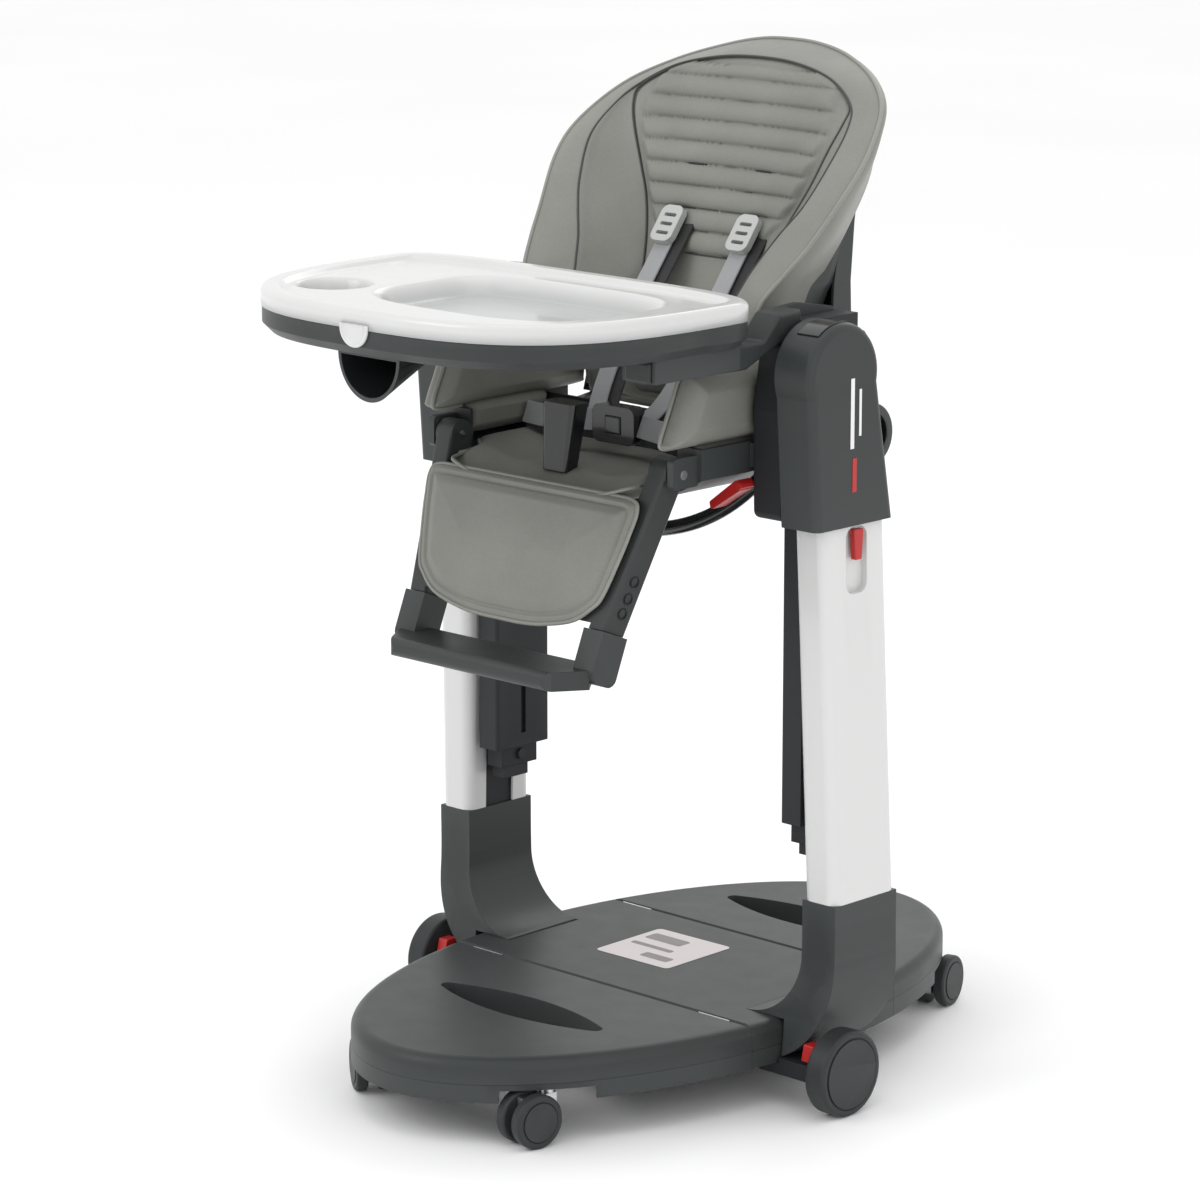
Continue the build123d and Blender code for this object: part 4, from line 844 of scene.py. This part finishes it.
def build_tray_top():
    """White lid: rounded rim, raised lip, deck with bowl and cup recess, and the half-round front badge."""
    outline = even(oval(TRAY_HALF_X, TRAY_FRONT, TRAY_REAR, TRAY_WIDEST_Y, 720), 560, True)
    bowl = even(oval(BOWL_HALF_X, -BOWL_HALF_Y, BOWL_HALF_Y, 0, 360) + (BOWL_X, BOWL_Y), 180, True)
    bowl_centre = np.array([BOWL_X, BOWL_Y])

    def signed(points):
        d = distance_to(bowl, points)
        p = points - bowl_centre
        power = np.where(p[:, 1] < 0, 3.0, 3.8)
        inside = (np.abs(p[:, 0]) / BOWL_HALF_X) ** power + (np.abs(p[:, 1]) / BOWL_HALF_Y) ** power < 1
        return np.where(inside, d, -d)

    def top(a, b, d):
        points = np.column_stack([a, b])
        shoulder = 0.007
        rim = LID_SHOULDER + 0.0075 * np.sqrt(np.clip(1 - (1 - np.clip(d / shoulder, 0, 1)) ** 2, 0, 1))
        lip = 0.0055 * ease((d - 0.017) / 0.010)
        cup = CUP_R - np.hypot(a - CUP_X, b - CUP_Y)
        deck = rim - lip
        bowl_drop = 0.0185 * ease((signed(points) + 0.002) / 0.020)
        cup_drop = 0.0205 * ease((cup + 0.001) / 0.009)
        return deck - np.maximum(bowl_drop, cup_drop)

    def bottom(a, b, d):
        return np.where(d < 0.0115, 0.8384, 0.8384 - 0.0104 * ease((d - 0.0105) / 0.001))

    lid = cushion("tray_top", outline, (0.0, -0.236), lying, top, bottom, TRAY_WHITE_WITH_SHADE, "tray_lid", 118)
    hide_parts("tray_lid")
    step = tube(
        "tray_lip_line",
        np.column_stack([oval(0.2470, -0.4130, -0.0790, TRAY_WIDEST_Y, 300), np.full(300, 0.8387)]),
        0.0008,
        WHITE,
        "tray_lid",
        closed=True,
    )
    profile = (
        (0.0195, -0.4158), (0.0200, -0.4172), (0.0195, -0.4186),
        (0.0170, -0.4190), (0.0163, -0.4182), (0.0040, -0.4184),
    )  # radius and Y of the badge's turned edge
    badge = []
    for radius, y in profile:
        arc = [(radius * cos(a), y, 0.8400 + radius * sin(a)) for a in np.linspace(-pi, 0, 40)]
        badge.append(np.array(arc + [(radius, y, 0.8435), (0.0, y, 0.8440), (-radius, y, 0.8435)]))
    mark = closed_form("tray_badge", badge, WHITE, "tray_lid")


# ---- Labels and small marks ----
def plate(name, corners, lift, material, body, thick=0.0003):
    """Thin printed plate: a list of 3D corners, raised along lift."""
    corners = np.asarray(corners, float)
    lift = np.asarray(lift, float)
    rings = [corners, corners + lift * thick]
    piece = closed_form(name, rings, material, body)
    piece.data.shade_flat()
    return piece


def rounded_square(centre, half_x, half_y, radius, turn=0.0):
    """Corner points of a rounded rectangle on a horizontal plane."""
    points = []
    for k, (sx, sy) in enumerate(((1, 1), (-1, 1), (-1, -1), (1, -1))):
        for t in np.linspace(0, pi / 2, 6):
            a = k * pi / 2 + t
            x, y = sx * (half_x - radius), sy * (half_y - radius)
            points.append((x + radius * cos(a), y + radius * sin(a)))
    points = np.array(points)
    spin = np.array([[cos(turn), -sin(turn)], [sin(turn), cos(turn)]])
    return np.column_stack([points @ spin.T + np.asarray(centre[:2]), np.full(len(points), centre[2])])


def build_marks():
    """Generic label on the platform, stripes on the caps, and raised marks on the leg bars."""
    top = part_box("base_centre_upper")[1].z + 0.0001
    up = (0, 0, 1)
    sheet = rounded_square((-0.032, 0.064, top), 0.053, 0.053, 0.006, radians(1))
    plate("platform_label", sheet, up, LABEL, "frame")
    bars = ((-0.050, 0.090, 0.026, 0.010), (-0.045, 0.060, 0.030, 0.004), (-0.015, 0.035, 0.020, 0.007))
    for k, (x, y, half_x, half_y) in enumerate(bars):
        bar = rounded_square((x, y, top + 0.0003), half_x, half_y, 0.003)
        plate(f"platform_label_bar_{k}", bar, up, INK_DARK, "frame", 0.0002)
    for side, sign in SIDES:
        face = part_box(f"cap_{side}")[1 if sign > 0 else 0].x + sign * 0.0001
        out = (sign, 0, 0)
        for name, z_low, z_high, y, wide, material in (
            ("line", 0.700, 0.772, -0.002, 0.0055, INK_WHITE),
            ("line_b", 0.712, 0.760, 0.010, 0.0035, INK_WHITE),
            ("stripe", 0.655, 0.690, 0.002, 0.0065, RED),
        ):
            y_low, y_high = y - wide / 2, y + wide / 2
            outline = ((y_low, z_low), (y_high, z_low), (y_high, z_high), (y_low, z_high))
            corners = [(face, y, z) for y, z in outline]
            plate(f"cap_{name}_{side}", corners, out, material, "frame")
        for k, down in enumerate((0.116, 0.134, 0.150)):
            x0 = sign * (0.1668 - 0.024 * down / 0.172)
            turns = np.linspace(0, 2 * pi, 20, endpoint=False)
            ring = on_leg(x0, down + 0.0055 * np.sin(turns), 0.0055 * np.cos(turns))
            mark = tube(f"leg_mark_{side}_{k}", ring, 0.0008, RAIL, "leg_rest", closed=True, sides=6)


# ---- Studio ----
def build_studio():
    """White floor, white surroundings, four soft lamps and the camera."""
    stage_white = Maker("stage_white")
    tone = stage_white.ramp(stage_white.noise(0.8, 2), (0.965, 0.965, 0.965), (0.985, 0.985, 0.985))
    rough = stage_white.range(stage_white.noise(3, 2), 0.75, 0.85)
    floor_material = stage_white.finish(tone, rough, stage_white.bump(stage_white.noise(60, 2), 0.0001, 0.1))
    mesh = bpy.data.meshes.new("floor")
    span = 14.0
    corners = [(-span, -span, 0), (span, -span, 0), (span, span, 0), (-span, span, 0)]
    mesh.from_pydata(corners, [], [(0, 1, 2, 3)])
    mesh.materials.append(floor_material)
    floor = bpy.data.objects.new("floor", mesh)
    bpy.context.scene.collection.objects.link(floor)

    world = bpy.data.worlds.new("studio")
    world.use_nodes = True
    world.node_tree.nodes["Background"].inputs["Color"].default_value = (1, 1, 1, 1)
    world.node_tree.nodes["Background"].inputs["Strength"].default_value = 1.0
    bpy.context.scene.world = world
    lights = (
        ("key", (-1.6, -3.6, 3.4), 2.4, 42.0),
        ("top", (0.4, -0.4, 4.2), 2.8, 16.0),
        ("fill", (4.2, -1.4, 2.2), 2.4, 14.0),
        ("rim", (-1.5, 3.6, 3.0), 2.0, 20.0),
    )
    for name, place, size, power in lights:
        light = bpy.data.lights.new(name, "AREA")
        light.size, light.energy = size, power
        lamp = bpy.data.objects.new(name, light)
        lamp.location = place
        lamp.rotation_euler = (Vector((0, 0, 0.6)) - Vector(place)).to_track_quat("-Z", "Y").to_euler()
        bpy.context.scene.collection.objects.link(lamp)

    camera = bpy.data.cameras.new("camera")
    camera.lens, camera.sensor_width = 135.41, 36.0
    view = bpy.data.objects.new("camera", camera)
    view.location = (3.2082, -3.4001, 1.5557)
    view.rotation_euler = Vector((-0.67665, 0.70248, -0.22063)).to_track_quat("-Z", "Y").to_euler()
    bpy.context.scene.collection.objects.link(view)
    bpy.context.scene.camera = view
    bpy.context.scene.view_settings.view_transform = "Standard"


finish_cad_nodes()
back_outline = build_back_cover()
build_back_trim()
build_bucket(back_outline)
build_seat_pad()
build_bolsters()
build_leg_pad()
build_harness()
build_tray_top()
build_marks()
build_studio()
